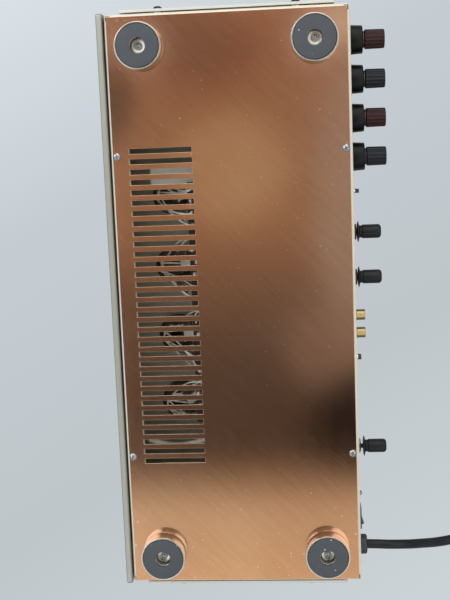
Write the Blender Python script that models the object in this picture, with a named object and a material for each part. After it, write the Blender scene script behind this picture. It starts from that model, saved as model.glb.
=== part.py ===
"""Stereo tube amplifier, built as separate pieces in metres, feet down, +Z up.

+X is the right side seen from the front, +Y is the rear with the terminals. The pieces are
placed from the middle of the chassis, and one empty carries them so that the origin lies
under the middle of the whole amplifier, at floor level.
"""

import math

import bmesh
import bpy
import numpy as np
from mathutils import Matrix, Vector

MM = 0.001
DEG = math.radians(1)

# Fits, and how near two points lie to count as one
SEAT_GAP = 0.3 * MM
OVERRUN = 1.5 * MM
WELD_DISTANCE = 0.001 * MM

# Chassis: a folded sheet pan, open below, with a lip all round that carries the bottom plate
CHASSIS_WIDTH = 436 * MM
CHASSIS_DEPTH = 179 * MM
CHASSIS_HEIGHT = 60 * MM
SHEET = 1.6 * MM
BEND_RADIUS = 2.0 * MM
LIP_WIDTH = 14 * MM
CORNER_NOTCH = 3.6 * MM

# Bottom plate with its vent slots
PLATE_MARGIN = 2.0 * MM
PLATE_THICKNESS = 1.5 * MM
SLOT_COUNT = 32
SLOT_PITCH = 7.66 * MM
SLOT_WIDTH = 3.3 * MM
SLOT_LENGTH = 47 * MM

# Plate screws, two on each long edge
PLATE_SCREW_X = 115.2 * MM
PLATE_SCREW_INSET = 4.9 * MM
PLATE_SCREW_HEAD = 5.7 * MM
PLATE_SCREW_HEAD_HEIGHT = 2.0 * MM
PLATE_SCREW_SHANK = 3.0 * MM
PLATE_SCREW_GRIP = 3.0 * MM

# Outline of a pan head, as shares of its radius and of its height
SCREW_DOME_SHARES = ((0.62, 0.94), (0.92, 0.55))

# Feet: turned aluminium with a rubber ring let into the lower face
FOOT_DIAMETER = 34 * MM
FOOT_HEIGHT = 12.4 * MM
FOOT_INSET_X = 24 * MM
FOOT_INSET_Y = 25.9 * MM
FOOT_EDGE_BREAK = 0.5 * MM
FOOT_RIM = 1.2 * MM
PAD_HOLE = 11.8 * MM
PAD_RECESS = 2.0 * MM
PAD_PROUD = 0.8 * MM
FOOT_WELL_DEPTH = 5.0 * MM
FOOT_WELL_FLOOR = 9.4 * MM
FOOT_SCREW_HEAD = 6.8 * MM
FOOT_SCREW_HEAD_HEIGHT = 2.4 * MM
FOOT_SCREW_SHANK = 4.0 * MM
FOOT_SCREW_GRIP = 3.0 * MM

# Front panel, held off the chassis by four spacers
PANEL_THICKNESS = 4.6 * MM
PANEL_GAP = 1.0 * MM
PANEL_SIDE_OVERHANG = 1.0 * MM
PANEL_RISE = 2.0 * MM
PANEL_CHAMFER = 0.7 * MM
PANEL_SPACER = 10 * MM
PANEL_SPACER_INSET = 22 * MM
LAMP_RECESS = 6.6 * MM
LAMP_RECESS_DEPTH = 2.6 * MM

# Side plates, held off the chassis ends by four spacers
SIDE_PLATE_LENGTH = 157.5 * MM
SIDE_PLATE_THICKNESS = 2.0 * MM
SIDE_PLATE_GAP = 1.1 * MM
SIDE_PLATE_INSET_Z = 2.5 * MM
SIDE_PLATE_CORNER = 2.0 * MM
SIDE_SPACER = 9 * MM
SIDE_SPACER_Y = 50.5 * MM
SIDE_SPACER_INSET_Z = 9 * MM

# Power tubes and their sockets, one row over the vent slots
TUBE_ROW_FROM_FRONT = 37.3 * MM
TUBE_PITCH = 55.4 * MM
TUBE_COUNT = 4
TUBE_HEIGHT = 98 * MM
TUBE_BASE_DIAMETER = 33.4 * MM
TUBE_BASE_HEIGHT = 15 * MM
TUBE_GLASS_DIAMETER = 32.4 * MM
TUBE_WAIST = 0.7 * MM
TUBE_DOME = 14 * MM
TUBE_KEY_DIAMETER = 7.9 * MM
TUBE_KEY_LENGTH = 9 * MM
SOCKET_RING_DIAMETER = 37 * MM
SOCKET_RING_HEIGHT = 1.8 * MM
SOCKET_BODY_DIAMETER = 28.6 * MM
SOCKET_BODY_DEPTH = 13 * MM
SOCKET_FOOT_DIAMETER = 24.6 * MM
SOCKET_FOOT_DEPTH = 5 * MM
SOCKET_LUG_CIRCLE = 17.5 * MM
SOCKET_LUG_COUNT = 8
SOCKET_LUG_WIDTH = 2.4 * MM
SOCKET_LUG_THICKNESS = 0.9 * MM
SOCKET_LUG_LENGTH = 7 * MM

# Driver tubes, on a board that hangs under the chassis top
DRIVER_X = 55.4 * MM
DRIVER_ROW_BEHIND = 40.5 * MM
DRIVER_HEIGHT = 50 * MM
DRIVER_DIAMETER = 21.6 * MM
DRIVER_DOME = 7 * MM
DRIVER_TIP = 4 * MM
DRIVER_HOLE_CLEARANCE = 1.4 * MM
DRIVER_SOCKET_DIAMETER = 20 * MM
DRIVER_SOCKET_HEIGHT = 9 * MM
BOARD_WIDTH = 168 * MM
BOARD_DEPTH = 32 * MM
BOARD_THICKNESS = 1.6 * MM
BOARD_STANDOFF = 6 * MM
BOARD_STANDOFF_INSET = 5 * MM
BOARD_CAPACITOR_DIAMETER = 14 * MM
BOARD_CAPACITOR_LENGTH = 18 * MM
BOARD_CAPACITOR_X = 16 * MM

# Transformers in drawn covers along the rear of the chassis top
TRANSFORMER_FRONT_GAP = 8 * MM
TRANSFORMER_REAR_MARGIN = 5.5 * MM
TRANSFORMER_SPACING = 16 * MM
POWER_TRANSFORMER_WIDTH = 124 * MM
POWER_TRANSFORMER_HEIGHT = 100 * MM
OUTPUT_TRANSFORMER_WIDTH = 104 * MM
OUTPUT_TRANSFORMER_HEIGHT = 92 * MM
COVER_CORNER = 9 * MM
COVER_TOP_RADIUS = 5 * MM
COVER_FLANGE = 5 * MM
COVER_FLANGE_THICKNESS = 2.5 * MM

# Loudspeaker binding posts
POST_COUNT = 4
POST_FROM_END = 23.3 * MM
POST_PITCH = 28.8 * MM
POST_COLLAR_DIAMETER = 21.7 * MM
POST_COLLAR_TIP = 20.6 * MM
POST_COLLAR_LENGTH = 10 * MM
POST_COLLAR_EDGE = 0.6 * MM
POST_NECK = 9 * MM
POST_NUT = 14 * MM
POST_NUT_THICKNESS = 3.2 * MM
POST_STUD = 5.0 * MM
POST_STUD_OUTER = 21 * MM
POST_STUD_INNER = 14 * MM
POST_WASHER = 12.4 * MM
POST_WASHER_THICKNESS = 0.8 * MM
POST_CAP_DIAMETER = 14.5 * MM
POST_CAP_TIP = 14.1 * MM
POST_CAP_LENGTH = 14.8 * MM
POST_CAP_FLUTES = 16
POST_CAP_FLUTE_DEPTH = 0.5 * MM
POST_CAP_CHAMFER = 0.5 * MM
POST_CAP_BORE_LENGTH = 12 * MM
THREAD_CLEARANCE = 0.35 * MM

# Level controls, selector switch and their knobs
LEVEL_RIGHT_X = 51.2 * MM
LEVEL_LEFT_X = 16.2 * MM
SELECTOR_X = -118.8 * MM
LEVEL_BODY_DIAMETER = 17 * MM
LEVEL_BODY_DEPTH = 9 * MM
SELECTOR_BODY_DIAMETER = 26 * MM
SELECTOR_BODY_DEPTH = 18 * MM
BUSHING_DIAMETER = 7.0 * MM
CONTROL_NUT = 12.2 * MM
CONTROL_NUT_THICKNESS = 2.6 * MM
SHAFT_DIAMETER = 3.6 * MM
SHAFT_CLEARANCE = 0.35 * MM
LEVEL_KNOB_STANDOFF = 3.2 * MM
SELECTOR_KNOB_STANDOFF = 4.6 * MM
KNOB_FLANGE = 15.8 * MM
KNOB_FLANGE_THICKNESS = 1.6 * MM
KNOB_NECK = 9.4 * MM
KNOB_NECK_LENGTH = 2.0 * MM
KNOB_BODY = 10.6 * MM
KNOB_LENGTH = 18.2 * MM
KNOB_END_RADIUS = 1.9 * MM

# Line-input jacks, two gold barrels on one insulated block
JACK_RIGHT_X = -13.4 * MM
JACK_PITCH = 14.0 * MM
JACK_BARREL = 8.3 * MM
JACK_LENGTH = 7.8 * MM
JACK_COLLAR = 9.6 * MM
JACK_COLLAR_LENGTH = 1.2 * MM
JACK_NECK = 6.6 * MM
JACK_BORE = 3.4 * MM
JACK_BORE_DEPTH = 6.5 * MM
JACK_BLOCK_WIDTH = 27 * MM
JACK_BLOCK_HEIGHT = 13 * MM
JACK_BLOCK_DEPTH = 9 * MM

# Mains switch
SWITCH_FROM_GLAND = 23.8 * MM
SWITCH_WIDTH = 18.2 * MM
SWITCH_HEIGHT = 13 * MM
SWITCH_BEZEL = 1.8 * MM
SWITCH_BEZEL_CHAMFER = 0.5 * MM
SWITCH_WALL = 1.2 * MM
SWITCH_LEDGE = 0.9 * MM
SWITCH_BODY_DEPTH = 14 * MM
SWITCH_WELL_DEPTH = 8.5 * MM
ROCKER_TILT = 9 * DEG
ROCKER_CLEARANCE = 0.35 * MM
ROCKER_DISH = 0.9 * MM
ROCKER_SKIRT = 5.0 * MM
ROCKER_PIVOT_DEPTH = 2.5 * MM
ROCKER_PIN = 2.0 * MM

# Cord, its strain relief and its plug
GLAND_FROM_END = 17.6 * MM
GLAND_DIAMETER = 15.7 * MM
GLAND_PROUD = 6.2 * MM
GLAND_ROUND = 2.0 * MM
GLAND_NECK = 12.4 * MM
GLAND_BARB = 14.4 * MM
GLAND_BARB_LENGTH = 7 * MM
CORD_DIAMETER = 7.3 * MM
CORD_FLOOR_CLEARANCE = 0.1 * MM
COIL_START = (-170 * MM, 222 * MM)
COIL_OUTER_RADIUS = 54.2 * MM
COIL_TURN_GAP = 0.6 * MM
COIL_TURNS = 6.25
COIL_POINTS_PER_TURN = 24
COIL_LEAD_IN = CORD_DIAMETER
COIL_TAIL = 30 * MM
PLUG_BODY_LENGTH = 42 * MM
PLUG_BODY_WIDTH = 26 * MM
PLUG_NECK_SHARE = 0.42
PLUG_STATION_SHARES = (0.32, 0.5, 0.62)
PLUG_SHOULDER_SHARES = (0.86, 0.94)
PLUG_CORNER_SHARE = 0.36
PLUG_BLADE_LENGTH = 17 * MM
PLUG_BLADE_WIDTH = 6.3 * MM
PLUG_BLADE_THICKNESS = 1.5 * MM
PLUG_BLADE_PITCH = 12.7 * MM

# The hand-chosen route of the cord from the strain relief to the coil, in the chassis's frame
CORD_ROUTE = (
    (-200.4 * MM, 96.2 * MM, 44.2 * MM),
    (-200.6 * MM, 104.0 * MM, 44.2 * MM),
    (-200.9 * MM, 112.0 * MM, 44.0 * MM),
    (-200.2 * MM, 121.0 * MM, 42.1 * MM),
    (-198.0 * MM, 130.0 * MM, 37.0 * MM),
    (-194.2 * MM, 138.0 * MM, 29.0 * MM),
    (-189.9 * MM, 145.0 * MM, 19.8 * MM),
    (-185.6 * MM, 152.0 * MM, 11.8 * MM),
    (-181.2 * MM, 161.0 * MM, 6.2 * MM),
    (-176.4 * MM, 172.0 * MM, 4.0 * MM),
    (-172.6 * MM, 184.0 * MM, 3.75 * MM),
    (-170.6 * MM, 197.0 * MM, 3.75 * MM),
    (-170.0 * MM, 209.0 * MM, 3.75 * MM),
    (-170.0 * MM, 221.7 * MM, 3.75 * MM),
)

# Facets round a turned piece
SIDES_LARGE = 22
SIDES_TUBE = 18
SIDES_MEDIUM = 16
SIDES_SMALL = 10
SIDES_NUT = 6

# Levels and planes that several pieces share
PLATE_BOTTOM = FOOT_HEIGHT
PLATE_TOP = PLATE_BOTTOM + PLATE_THICKNESS
CHASSIS_BOTTOM = PLATE_TOP + SEAT_GAP
CHASSIS_TOP = CHASSIS_BOTTOM + CHASSIS_HEIGHT
CHASSIS_END = CHASSIS_WIDTH / 2
REAR_FACE = CHASSIS_DEPTH / 2
FRONT_FACE = -CHASSIS_DEPTH / 2
REAR_INSIDE = REAR_FACE - SHEET
TOP_INSIDE = CHASSIS_TOP - SHEET
REAR_ROW_Z = CHASSIS_BOTTOM + CHASSIS_HEIGHT / 2
TUBE_ROW_Y = FRONT_FACE + TUBE_ROW_FROM_FRONT
DRIVER_ROW_Y = TUBE_ROW_Y + DRIVER_ROW_BEHIND
DRIVER_HOLE = DRIVER_DIAMETER + 2 * DRIVER_HOLE_CLEARANCE
PANEL_FRONT = FRONT_FACE - PANEL_GAP - PANEL_THICKNESS
POST_WASHER_Y = REAR_FACE + POST_COLLAR_LENGTH + SEAT_GAP
POST_CAP_Y = POST_WASHER_Y + POST_WASHER_THICKNESS + SEAT_GAP
POST_TIP = POST_CAP_Y + POST_CAP_LENGTH
GLAND_X = -CHASSIS_END + GLAND_FROM_END
COIL_CENTRE = (COIL_START[0] + COIL_OUTER_RADIUS, COIL_START[1])
SWITCH_X = GLAND_X + SWITCH_FROM_GLAND
POST_XS = [CHASSIS_END - POST_FROM_END - i * POST_PITCH for i in range(POST_COUNT)]
TUBE_XS = [(i - (TUBE_COUNT - 1) / 2) * TUBE_PITCH for i in range(TUBE_COUNT)]
JACK_XS = [JACK_RIGHT_X, JACK_RIGHT_X - JACK_PITCH]
FACING_REAR = (-math.pi / 2, 0, 0)


def clear_scene():
    for obj in list(bpy.data.objects):
        bpy.data.objects.remove(obj, do_unlink=True)


def finish(name, colour, roughness, metallic=0.0, transmission=0.0):
    """A plain Principled material, colours in linear light."""
    material = bpy.data.materials.new(name)
    material.use_nodes = True
    shader = material.node_tree.nodes["Principled BSDF"]
    shader.inputs["Base Color"].default_value = (*colour, 1)
    shader.inputs["Roughness"].default_value = roughness
    shader.inputs["Metallic"].default_value = metallic
    shader.inputs["Transmission Weight"].default_value = transmission
    material.diffuse_color = (*colour, 1)
    return material


def mesh_of(bm, name):
    bmesh.ops.remove_doubles(bm, verts=bm.verts, dist=WELD_DISTANCE)
    bmesh.ops.recalc_face_normals(bm, faces=bm.faces)
    mesh = bpy.data.meshes.new(name)
    bm.to_mesh(mesh)
    bm.free()
    return mesh


def turned(name, profile, sides, closed=False):
    """A solid of revolution about Z from (radius, height) points; closed for a piece with a bore."""
    bm = bmesh.new()
    points = [bm.verts.new((radius, 0, height)) for radius, height in profile]
    pairs = list(zip(points, points[1:]))
    if closed:
        pairs.append((points[-1], points[0]))
    edges = [bm.edges.new(pair) for pair in pairs]
    bmesh.ops.spin(
        bm,
        geom=points + edges,
        axis=(0, 0, 1),
        cent=(0, 0, 0),
        angle=2 * math.pi,
        steps=sides,
        use_merge=True,
    )
    return mesh_of(bm, name)


def lofted(name, loops):
    """A closed skin over loops of equally many points, capped at both ends."""
    bm = bmesh.new()
    rings = [[bm.verts.new(point) for point in loop] for loop in loops]
    for lower, upper in zip(rings, rings[1:]):
        for i in range(len(lower)):
            j = (i + 1) % len(lower)
            bm.faces.new((lower[i], lower[j], upper[j], upper[i]))
    bm.faces.new(rings[0][::-1])
    bm.faces.new(rings[-1])
    return mesh_of(bm, name)


def rounded_rectangle(width, depth, radius, z, steps=3):
    """The points of a rectangle with round corners, centred on the Z axis."""
    points = []
    for quarter in range(4):
        turn = quarter * math.pi / 2
        sign_x = 1 if quarter in (0, 3) else -1
        sign_y = 1 if quarter in (0, 1) else -1
        centre_x = sign_x * (width / 2 - radius)
        centre_y = sign_y * (depth / 2 - radius)
        for step in range(steps + 1):
            angle = turn + step / steps * math.pi / 2
            points.append(
                (centre_x + radius * math.cos(angle), centre_y + radius * math.sin(angle), z)
            )
    return points


def block(name, low, high):
    """A box between two corners."""
    bm = bmesh.new()
    bmesh.ops.create_cube(bm, size=1)
    low, high = Vector(low), Vector(high)
    size = high - low
    bmesh.ops.transform(
        bm, matrix=Matrix.Translation((low + high) / 2) @ Matrix.Diagonal((*size, 1)), verts=bm.verts
    )
    return mesh_of(bm, name)


def disc(name, diameter, low, high, sides):
    """A cylinder about Z."""
    radius = diameter / 2
    return turned(name, ((0, low), (radius, low), (radius, high), (0, high)), sides)


def joined(name, meshes, moves=None):
    """One mesh that holds several, each moved by its matrix."""
    bm = bmesh.new()
    for i, mesh in enumerate(meshes):
        first = len(bm.verts)
        bm.from_mesh(mesh)
        bm.verts.ensure_lookup_table()
        if moves:
            bmesh.ops.transform(bm, matrix=moves[i], verts=bm.verts[first:])
    whole = bpy.data.meshes.new(name)
    bm.to_mesh(whole)
    bm.free()
    return whole


def at(x, y, z):
    return Matrix.Translation((x, y, z))


def facing_rear(x, y, z):
    """Puts a piece made along Z at a place, with its Z axis along +Y."""
    return at(x, y, z) @ Matrix.Rotation(-math.pi / 2, 4, "X")


def shaped(mesh, steps):
    """The mesh after Boolean steps, each an operation and the mesh that cuts or joins."""
    body = bpy.data.objects.new("shaping", mesh)
    bpy.context.scene.collection.objects.link(body)
    helpers = []
    for operation, tool_mesh in steps:
        tool = bpy.data.objects.new("tool", tool_mesh)
        tool.hide_render = True
        tool.display_type = "WIRE"
        bpy.context.scene.collection.objects.link(tool)
        change = body.modifiers.new(operation.lower(), "BOOLEAN")
        change.operation = operation
        change.solver = "EXACT"
        change.object = tool
        helpers.append(tool)
    graph = bpy.context.evaluated_depsgraph_get()
    result = bpy.data.meshes.new_from_object(body.evaluated_get(graph))
    result.name = mesh.name
    for helper in [body, *helpers]:
        bpy.data.objects.remove(helper, do_unlink=True)
    return result


def place(name, mesh, material, location=(0, 0, 0), rotation=(0, 0, 0), sharp=35):
    """Puts a mesh in the scene as one piece of the amplifier."""
    obj = bpy.data.objects.new(name, mesh)
    obj.location = location
    obj.rotation_euler = rotation
    obj.parent = frame
    mesh.materials.clear()
    mesh.materials.append(material)
    mesh.shade_smooth()
    mesh.set_sharp_from_angle(angle=sharp * DEG)
    bpy.context.scene.collection.objects.link(obj)
    return obj


def make_chassis():
    """The folded pan: an outer block with rounded bends, hollowed, opened and pierced."""
    outer = bmesh.new()
    bmesh.ops.create_cube(outer, size=1)
    size = (CHASSIS_WIDTH, CHASSIS_DEPTH, CHASSIS_HEIGHT, 1)
    centre_z = CHASSIS_BOTTOM + CHASSIS_HEIGHT / 2
    bmesh.ops.transform(outer, matrix=at(0, 0, centre_z) @ Matrix.Diagonal(size), verts=outer.verts)
    bmesh.ops.bevel(
        outer,
        geom=outer.edges[:],
        offset=BEND_RADIUS,
        segments=2,
        profile=0.5,
        affect="EDGES",
        clamp_overlap=True,
    )
    shell = mesh_of(outer, "chassis")
    hollow = block(
        "hollow",
        (-CHASSIS_END + SHEET, FRONT_FACE + SHEET, CHASSIS_BOTTOM + SHEET),
        (CHASSIS_END - SHEET, REAR_INSIDE, TOP_INSIDE),
    )
    mouth = block(
        "mouth",
        (-CHASSIS_END + LIP_WIDTH, FRONT_FACE + LIP_WIDTH, CHASSIS_BOTTOM - OVERRUN),
        (CHASSIS_END - LIP_WIDTH, REAR_FACE - LIP_WIDTH, CHASSIS_BOTTOM + SHEET + OVERRUN),
    )
    notch = block(
        "notch",
        (-CORNER_NOTCH / 2, -CORNER_NOTCH / 2, CHASSIS_BOTTOM - OVERRUN),
        (CORNER_NOTCH / 2, CORNER_NOTCH / 2, CHASSIS_BOTTOM + SHEET + OVERRUN),
    )
    notch_x = CHASSIS_END - PLATE_MARGIN - CORNER_NOTCH / 4
    notch_y = REAR_FACE - PLATE_MARGIN - CORNER_NOTCH / 4
    corners = [at(sx * notch_x, sy * notch_y, 0) for sx in (-1, 1) for sy in (-1, 1)]
    notches = joined("notches", [notch] * 4, corners)
    return shaped(
        shell,
        [
            ("DIFFERENCE", hollow),
            ("DIFFERENCE", mouth),
            ("DIFFERENCE", notches),
            ("DIFFERENCE", holes_in_top()),
            ("DIFFERENCE", holes_in_rear()),
            ("DIFFERENCE", holes_in_lip()),
        ],
    )


def holes_in_top():
    low, high = TOP_INSIDE - OVERRUN, CHASSIS_TOP + OVERRUN
    power = disc("hole", SOCKET_BODY_DIAMETER + 2 * SEAT_GAP, low, high, SIDES_MEDIUM)
    driver = disc("hole", DRIVER_HOLE, low, high, SIDES_MEDIUM)
    meshes = [power] * TUBE_COUNT + [driver] * 2
    moves = [at(x, TUBE_ROW_Y, 0) for x in TUBE_XS]
    moves += [at(x, DRIVER_ROW_Y, 0) for x in (-DRIVER_X, DRIVER_X)]
    return joined("holes_in_top", meshes, moves)


def holes_in_rear():
    low, high = -SHEET - OVERRUN, OVERRUN
    post = disc("hole", POST_NECK + 2 * SEAT_GAP, low, high, SIDES_SMALL)
    bush = disc("hole", BUSHING_DIAMETER + 2 * SEAT_GAP, low, high, SIDES_SMALL)
    jack = disc("hole", JACK_NECK + 2 * SEAT_GAP, low, high, SIDES_SMALL)
    gland = disc("hole", GLAND_NECK + 2 * SEAT_GAP, low, high, SIDES_SMALL)
    body_width = switch_body_width() / 2 + SEAT_GAP
    body_height = switch_body_height() / 2 + SEAT_GAP
    switch = block("hole", (-body_width, -body_height, low), (body_width, body_height, high))
    meshes = [post] * POST_COUNT + [bush] * 3 + [jack] * 2 + [gland, switch]
    xs = POST_XS + [LEVEL_RIGHT_X, LEVEL_LEFT_X, SELECTOR_X] + JACK_XS + [GLAND_X, SWITCH_X]
    return joined("holes_in_rear", meshes, [facing_rear(x, REAR_FACE, REAR_ROW_Z) for x in xs])


def holes_in_lip():
    low, high = CHASSIS_BOTTOM - OVERRUN, CHASSIS_BOTTOM + SHEET + OVERRUN
    hole = disc("hole", PLATE_SCREW_SHANK + 2 * SEAT_GAP, low, high, SIDES_SMALL)
    return joined("holes_in_lip", [hole] * 4, [at(x, y, 0) for x, y in plate_screw_places()])


def plate_screw_places():
    y = REAR_FACE - PLATE_SCREW_INSET
    return [(x, sy) for x in (-PLATE_SCREW_X, PLATE_SCREW_X) for sy in (-y, y)]


def foot_places():
    x = CHASSIS_END - FOOT_INSET_X
    y = REAR_FACE - FOOT_INSET_Y
    return [(-x, -y), (x, -y), (-x, y), (x, y)]


def make_bottom_plate():
    """Flat sheet inside the rim, with a ladder of vent slots under the tube sockets."""
    half_width = CHASSIS_END - PLATE_MARGIN
    half_depth = REAR_FACE - PLATE_MARGIN
    sheet = block(
        "bottom_plate", (-half_width, -half_depth, PLATE_BOTTOM), (half_width, half_depth, PLATE_TOP)
    )
    low, high = PLATE_BOTTOM - OVERRUN, PLATE_TOP + OVERRUN
    slot = block(
        "slot", (-SLOT_WIDTH / 2, -SLOT_LENGTH / 2, low), (SLOT_WIDTH / 2, SLOT_LENGTH / 2, high)
    )
    slot_xs = [(i - (SLOT_COUNT - 1) / 2) * SLOT_PITCH for i in range(SLOT_COUNT)]
    slots = joined("slots", [slot] * SLOT_COUNT, [at(x, TUBE_ROW_Y, 0) for x in slot_xs])
    edge_hole = disc("hole", PLATE_SCREW_SHANK + 2 * SEAT_GAP, low, high, SIDES_SMALL)
    foot_hole = disc("hole", FOOT_SCREW_SHANK + 2 * SEAT_GAP, low, high, SIDES_SMALL)
    places = [at(x, y, 0) for x, y in plate_screw_places() + foot_places()]
    holes = joined("holes", [edge_hole] * 4 + [foot_hole] * 4, places)
    return shaped(sheet, [("DIFFERENCE", slots), ("DIFFERENCE", holes)])


def make_foot():
    """Turned body: flat top, broken lower edge, a ring recess for the pad and a tapered well."""
    radius = FOOT_DIAMETER / 2
    pad_outer = radius - FOOT_RIM
    well = PAD_HOLE / 2
    hole = FOOT_SCREW_SHANK / 2 + SEAT_GAP
    bottom = PAD_PROUD
    top = FOOT_HEIGHT - SEAT_GAP
    floor = bottom + PAD_RECESS
    well_floor = floor + FOOT_WELL_DEPTH
    profile = (
        (hole, top),
        (radius, top),
        (radius, bottom + FOOT_EDGE_BREAK),
        (radius - FOOT_EDGE_BREAK, bottom),
        (pad_outer, bottom),
        (pad_outer, floor),
        (well, floor),
        (FOOT_WELL_FLOOR / 2, well_floor),
        (hole, well_floor),
    )
    return turned("foot", profile, SIDES_LARGE, closed=True)


def make_foot_pad():
    """Rubber ring that stands a little proud of the foot."""
    outer = FOOT_DIAMETER / 2 - FOOT_RIM - SEAT_GAP
    inner = PAD_HOLE / 2
    top = PAD_PROUD + PAD_RECESS - SEAT_GAP
    soft = PAD_PROUD / 2
    profile = ((inner, 0), (outer - soft, 0), (outer, soft), (outer, top), (inner, top))
    return turned("foot_pad", profile, SIDES_LARGE, closed=True)


def domed_screw(name, head, head_height, shank, reach, sides):
    """A pan-head screw along Z: the head hangs below zero, the shank rises to its reach."""
    profile = (
        (0, -head_height),
        *[(head / 2 * reach, -head_height * rise) for reach, rise in SCREW_DOME_SHARES],
        (head / 2, 0),
        (shank / 2, 0),
        (shank / 2, reach),
        (0, reach),
    )
    return turned(name, profile, sides)


def make_feet():
    foot, pad = make_foot(), make_foot_pad()
    well_floor = PAD_PROUD + PAD_RECESS + FOOT_WELL_DEPTH
    reach = PLATE_TOP + FOOT_SCREW_GRIP - well_floor + SEAT_GAP
    screw = domed_screw(
        "foot_screw", FOOT_SCREW_HEAD, FOOT_SCREW_HEAD_HEIGHT, FOOT_SCREW_SHANK, reach, SIDES_SMALL
    )
    names = ("front_left", "front_right", "rear_left", "rear_right")
    for corner, (x, y) in zip(names, foot_places()):
        place(f"foot_{corner}", foot, turned_aluminium, (x, y, 0))
        place(f"foot_pad_{corner}", pad, pad_rubber, (x, y, 0))
        place(f"foot_screw_{corner}", screw, plated_steel, (x, y, well_floor - SEAT_GAP))


def make_plate_screws():
    reach = PLATE_THICKNESS + 2 * SEAT_GAP + SHEET + PLATE_SCREW_GRIP
    screw = domed_screw(
        "plate_screw",
        PLATE_SCREW_HEAD,
        PLATE_SCREW_HEAD_HEIGHT,
        PLATE_SCREW_SHANK,
        reach,
        SIDES_SMALL,
    )
    names = ("front_left", "rear_left", "front_right", "rear_right")
    for corner, (x, y) in zip(names, plate_screw_places()):
        place(f"plate_screw_{corner}", screw, plated_steel, (x, y, PLATE_BOTTOM - SEAT_GAP))


def make_front_panel():
    """Thick plate with chamfered edges, a lamp recess in front and four spacers behind."""
    half = CHASSIS_END + PANEL_SIDE_OVERHANG
    low, high = PLATE_BOTTOM, CHASSIS_TOP + PANEL_RISE
    height = high - low
    width = 2 * half
    back = -PANEL_GAP
    front = back - PANEL_THICKNESS
    chamfer = PANEL_CHAMFER
    rings = (
        (front, chamfer),
        (front + chamfer, 0),
        (back - chamfer, 0),
        (back, chamfer),
    )
    loops = [
        rounded_rectangle(width - 2 * inset, height - 2 * inset, PANEL_RISE - inset, level)
        for level, inset in rings
    ]
    slab = lofted("front_panel", loops)
    spacer = disc("spacer", PANEL_SPACER, back - OVERRUN, -SEAT_GAP, SIDES_SMALL)
    spacer_x = CHASSIS_END - PANEL_SPACER_INSET
    spacer_y = CHASSIS_HEIGHT / 2 - PANEL_SPACER_INSET / 2
    moves = [at(sx * spacer_x, sy * spacer_y, 0) for sx in (-1, 1) for sy in (-1, 1)]
    spacers = joined("spacers", [spacer] * 4, moves)
    recess = disc("recess", LAMP_RECESS, front - OVERRUN, front + LAMP_RECESS_DEPTH, SIDES_MEDIUM)
    mesh = shaped(slab, [("UNION", spacers), ("DIFFERENCE", recess)])
    location = (0, FRONT_FACE, (low + high) / 2)
    place("front_panel", mesh, panel_aluminium, location, FACING_REAR)


def make_side_plates():
    """Thin plate with small round corners, on spacers, at each end."""
    height = CHASSIS_HEIGHT - 2 * SIDE_PLATE_INSET_Z
    inner = SIDE_PLATE_GAP
    outer = inner + SIDE_PLATE_THICKNESS
    loops = [
        rounded_rectangle(SIDE_PLATE_LENGTH, height, SIDE_PLATE_CORNER, level)
        for level in (inner, outer)
    ]
    slab = lofted("side_plate", loops)
    spacer = disc("spacer", SIDE_SPACER, SEAT_GAP, inner + SIDE_PLATE_THICKNESS / 2, SIDES_SMALL)
    spacer_z = CHASSIS_HEIGHT / 2 - SIDE_SPACER_INSET_Z
    moves = [at(sy * SIDE_SPACER_Y, sz * spacer_z, 0) for sy in (-1, 1) for sz in (-1, 1)]
    mesh = shaped(slab, [("UNION", joined("spacers", [spacer] * 4, moves))])
    middle = CHASSIS_BOTTOM + CHASSIS_HEIGHT / 2
    upright = math.pi / 2
    place("side_plate_right", mesh, side_paint, (CHASSIS_END, 0, middle), (upright, 0, upright))
    place("side_plate_left", mesh, side_paint, (-CHASSIS_END, 0, middle), (upright, 0, -upright))


def dome_points(radius, start, rise, steps):
    """Points of a quarter ellipse from the wall to the axis."""
    quarter = math.pi / 2
    return [
        (radius * math.cos(quarter * i / steps), start + rise * math.sin(quarter * i / steps))
        for i in range(1, steps)
    ] + [(0, start + rise)]


def make_power_tubes():
    """Base with a guide key below, glass with a slight waist above it and a domed top."""
    base = TUBE_BASE_DIAMETER / 2
    glass = TUBE_GLASS_DIAMETER / 2
    waist = glass - TUBE_WAIST
    key = TUBE_KEY_DIAMETER / 2
    edge = TUBE_WAIST
    profile = [
        (0, -TUBE_KEY_LENGTH),
        (key, -TUBE_KEY_LENGTH),
        (key, 0),
        (base - edge, 0),
        (base, edge),
        (base, TUBE_BASE_HEIGHT - edge),
        (base - edge, TUBE_BASE_HEIGHT),
        (waist, TUBE_BASE_HEIGHT),
        (glass, TUBE_BASE_HEIGHT + TUBE_DOME / 2),
        (glass, TUBE_HEIGHT - TUBE_DOME),
    ]
    profile += dome_points(glass, TUBE_HEIGHT - TUBE_DOME, TUBE_DOME, 4)
    mesh = turned("power_tube", profile, SIDES_TUBE)
    seat = CHASSIS_TOP + SOCKET_RING_HEIGHT + 2 * SEAT_GAP
    for number, x in enumerate(TUBE_XS, 1):
        place(f"power_tube_{number}", mesh, tube_glass, (x, TUBE_ROW_Y, seat))


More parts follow.
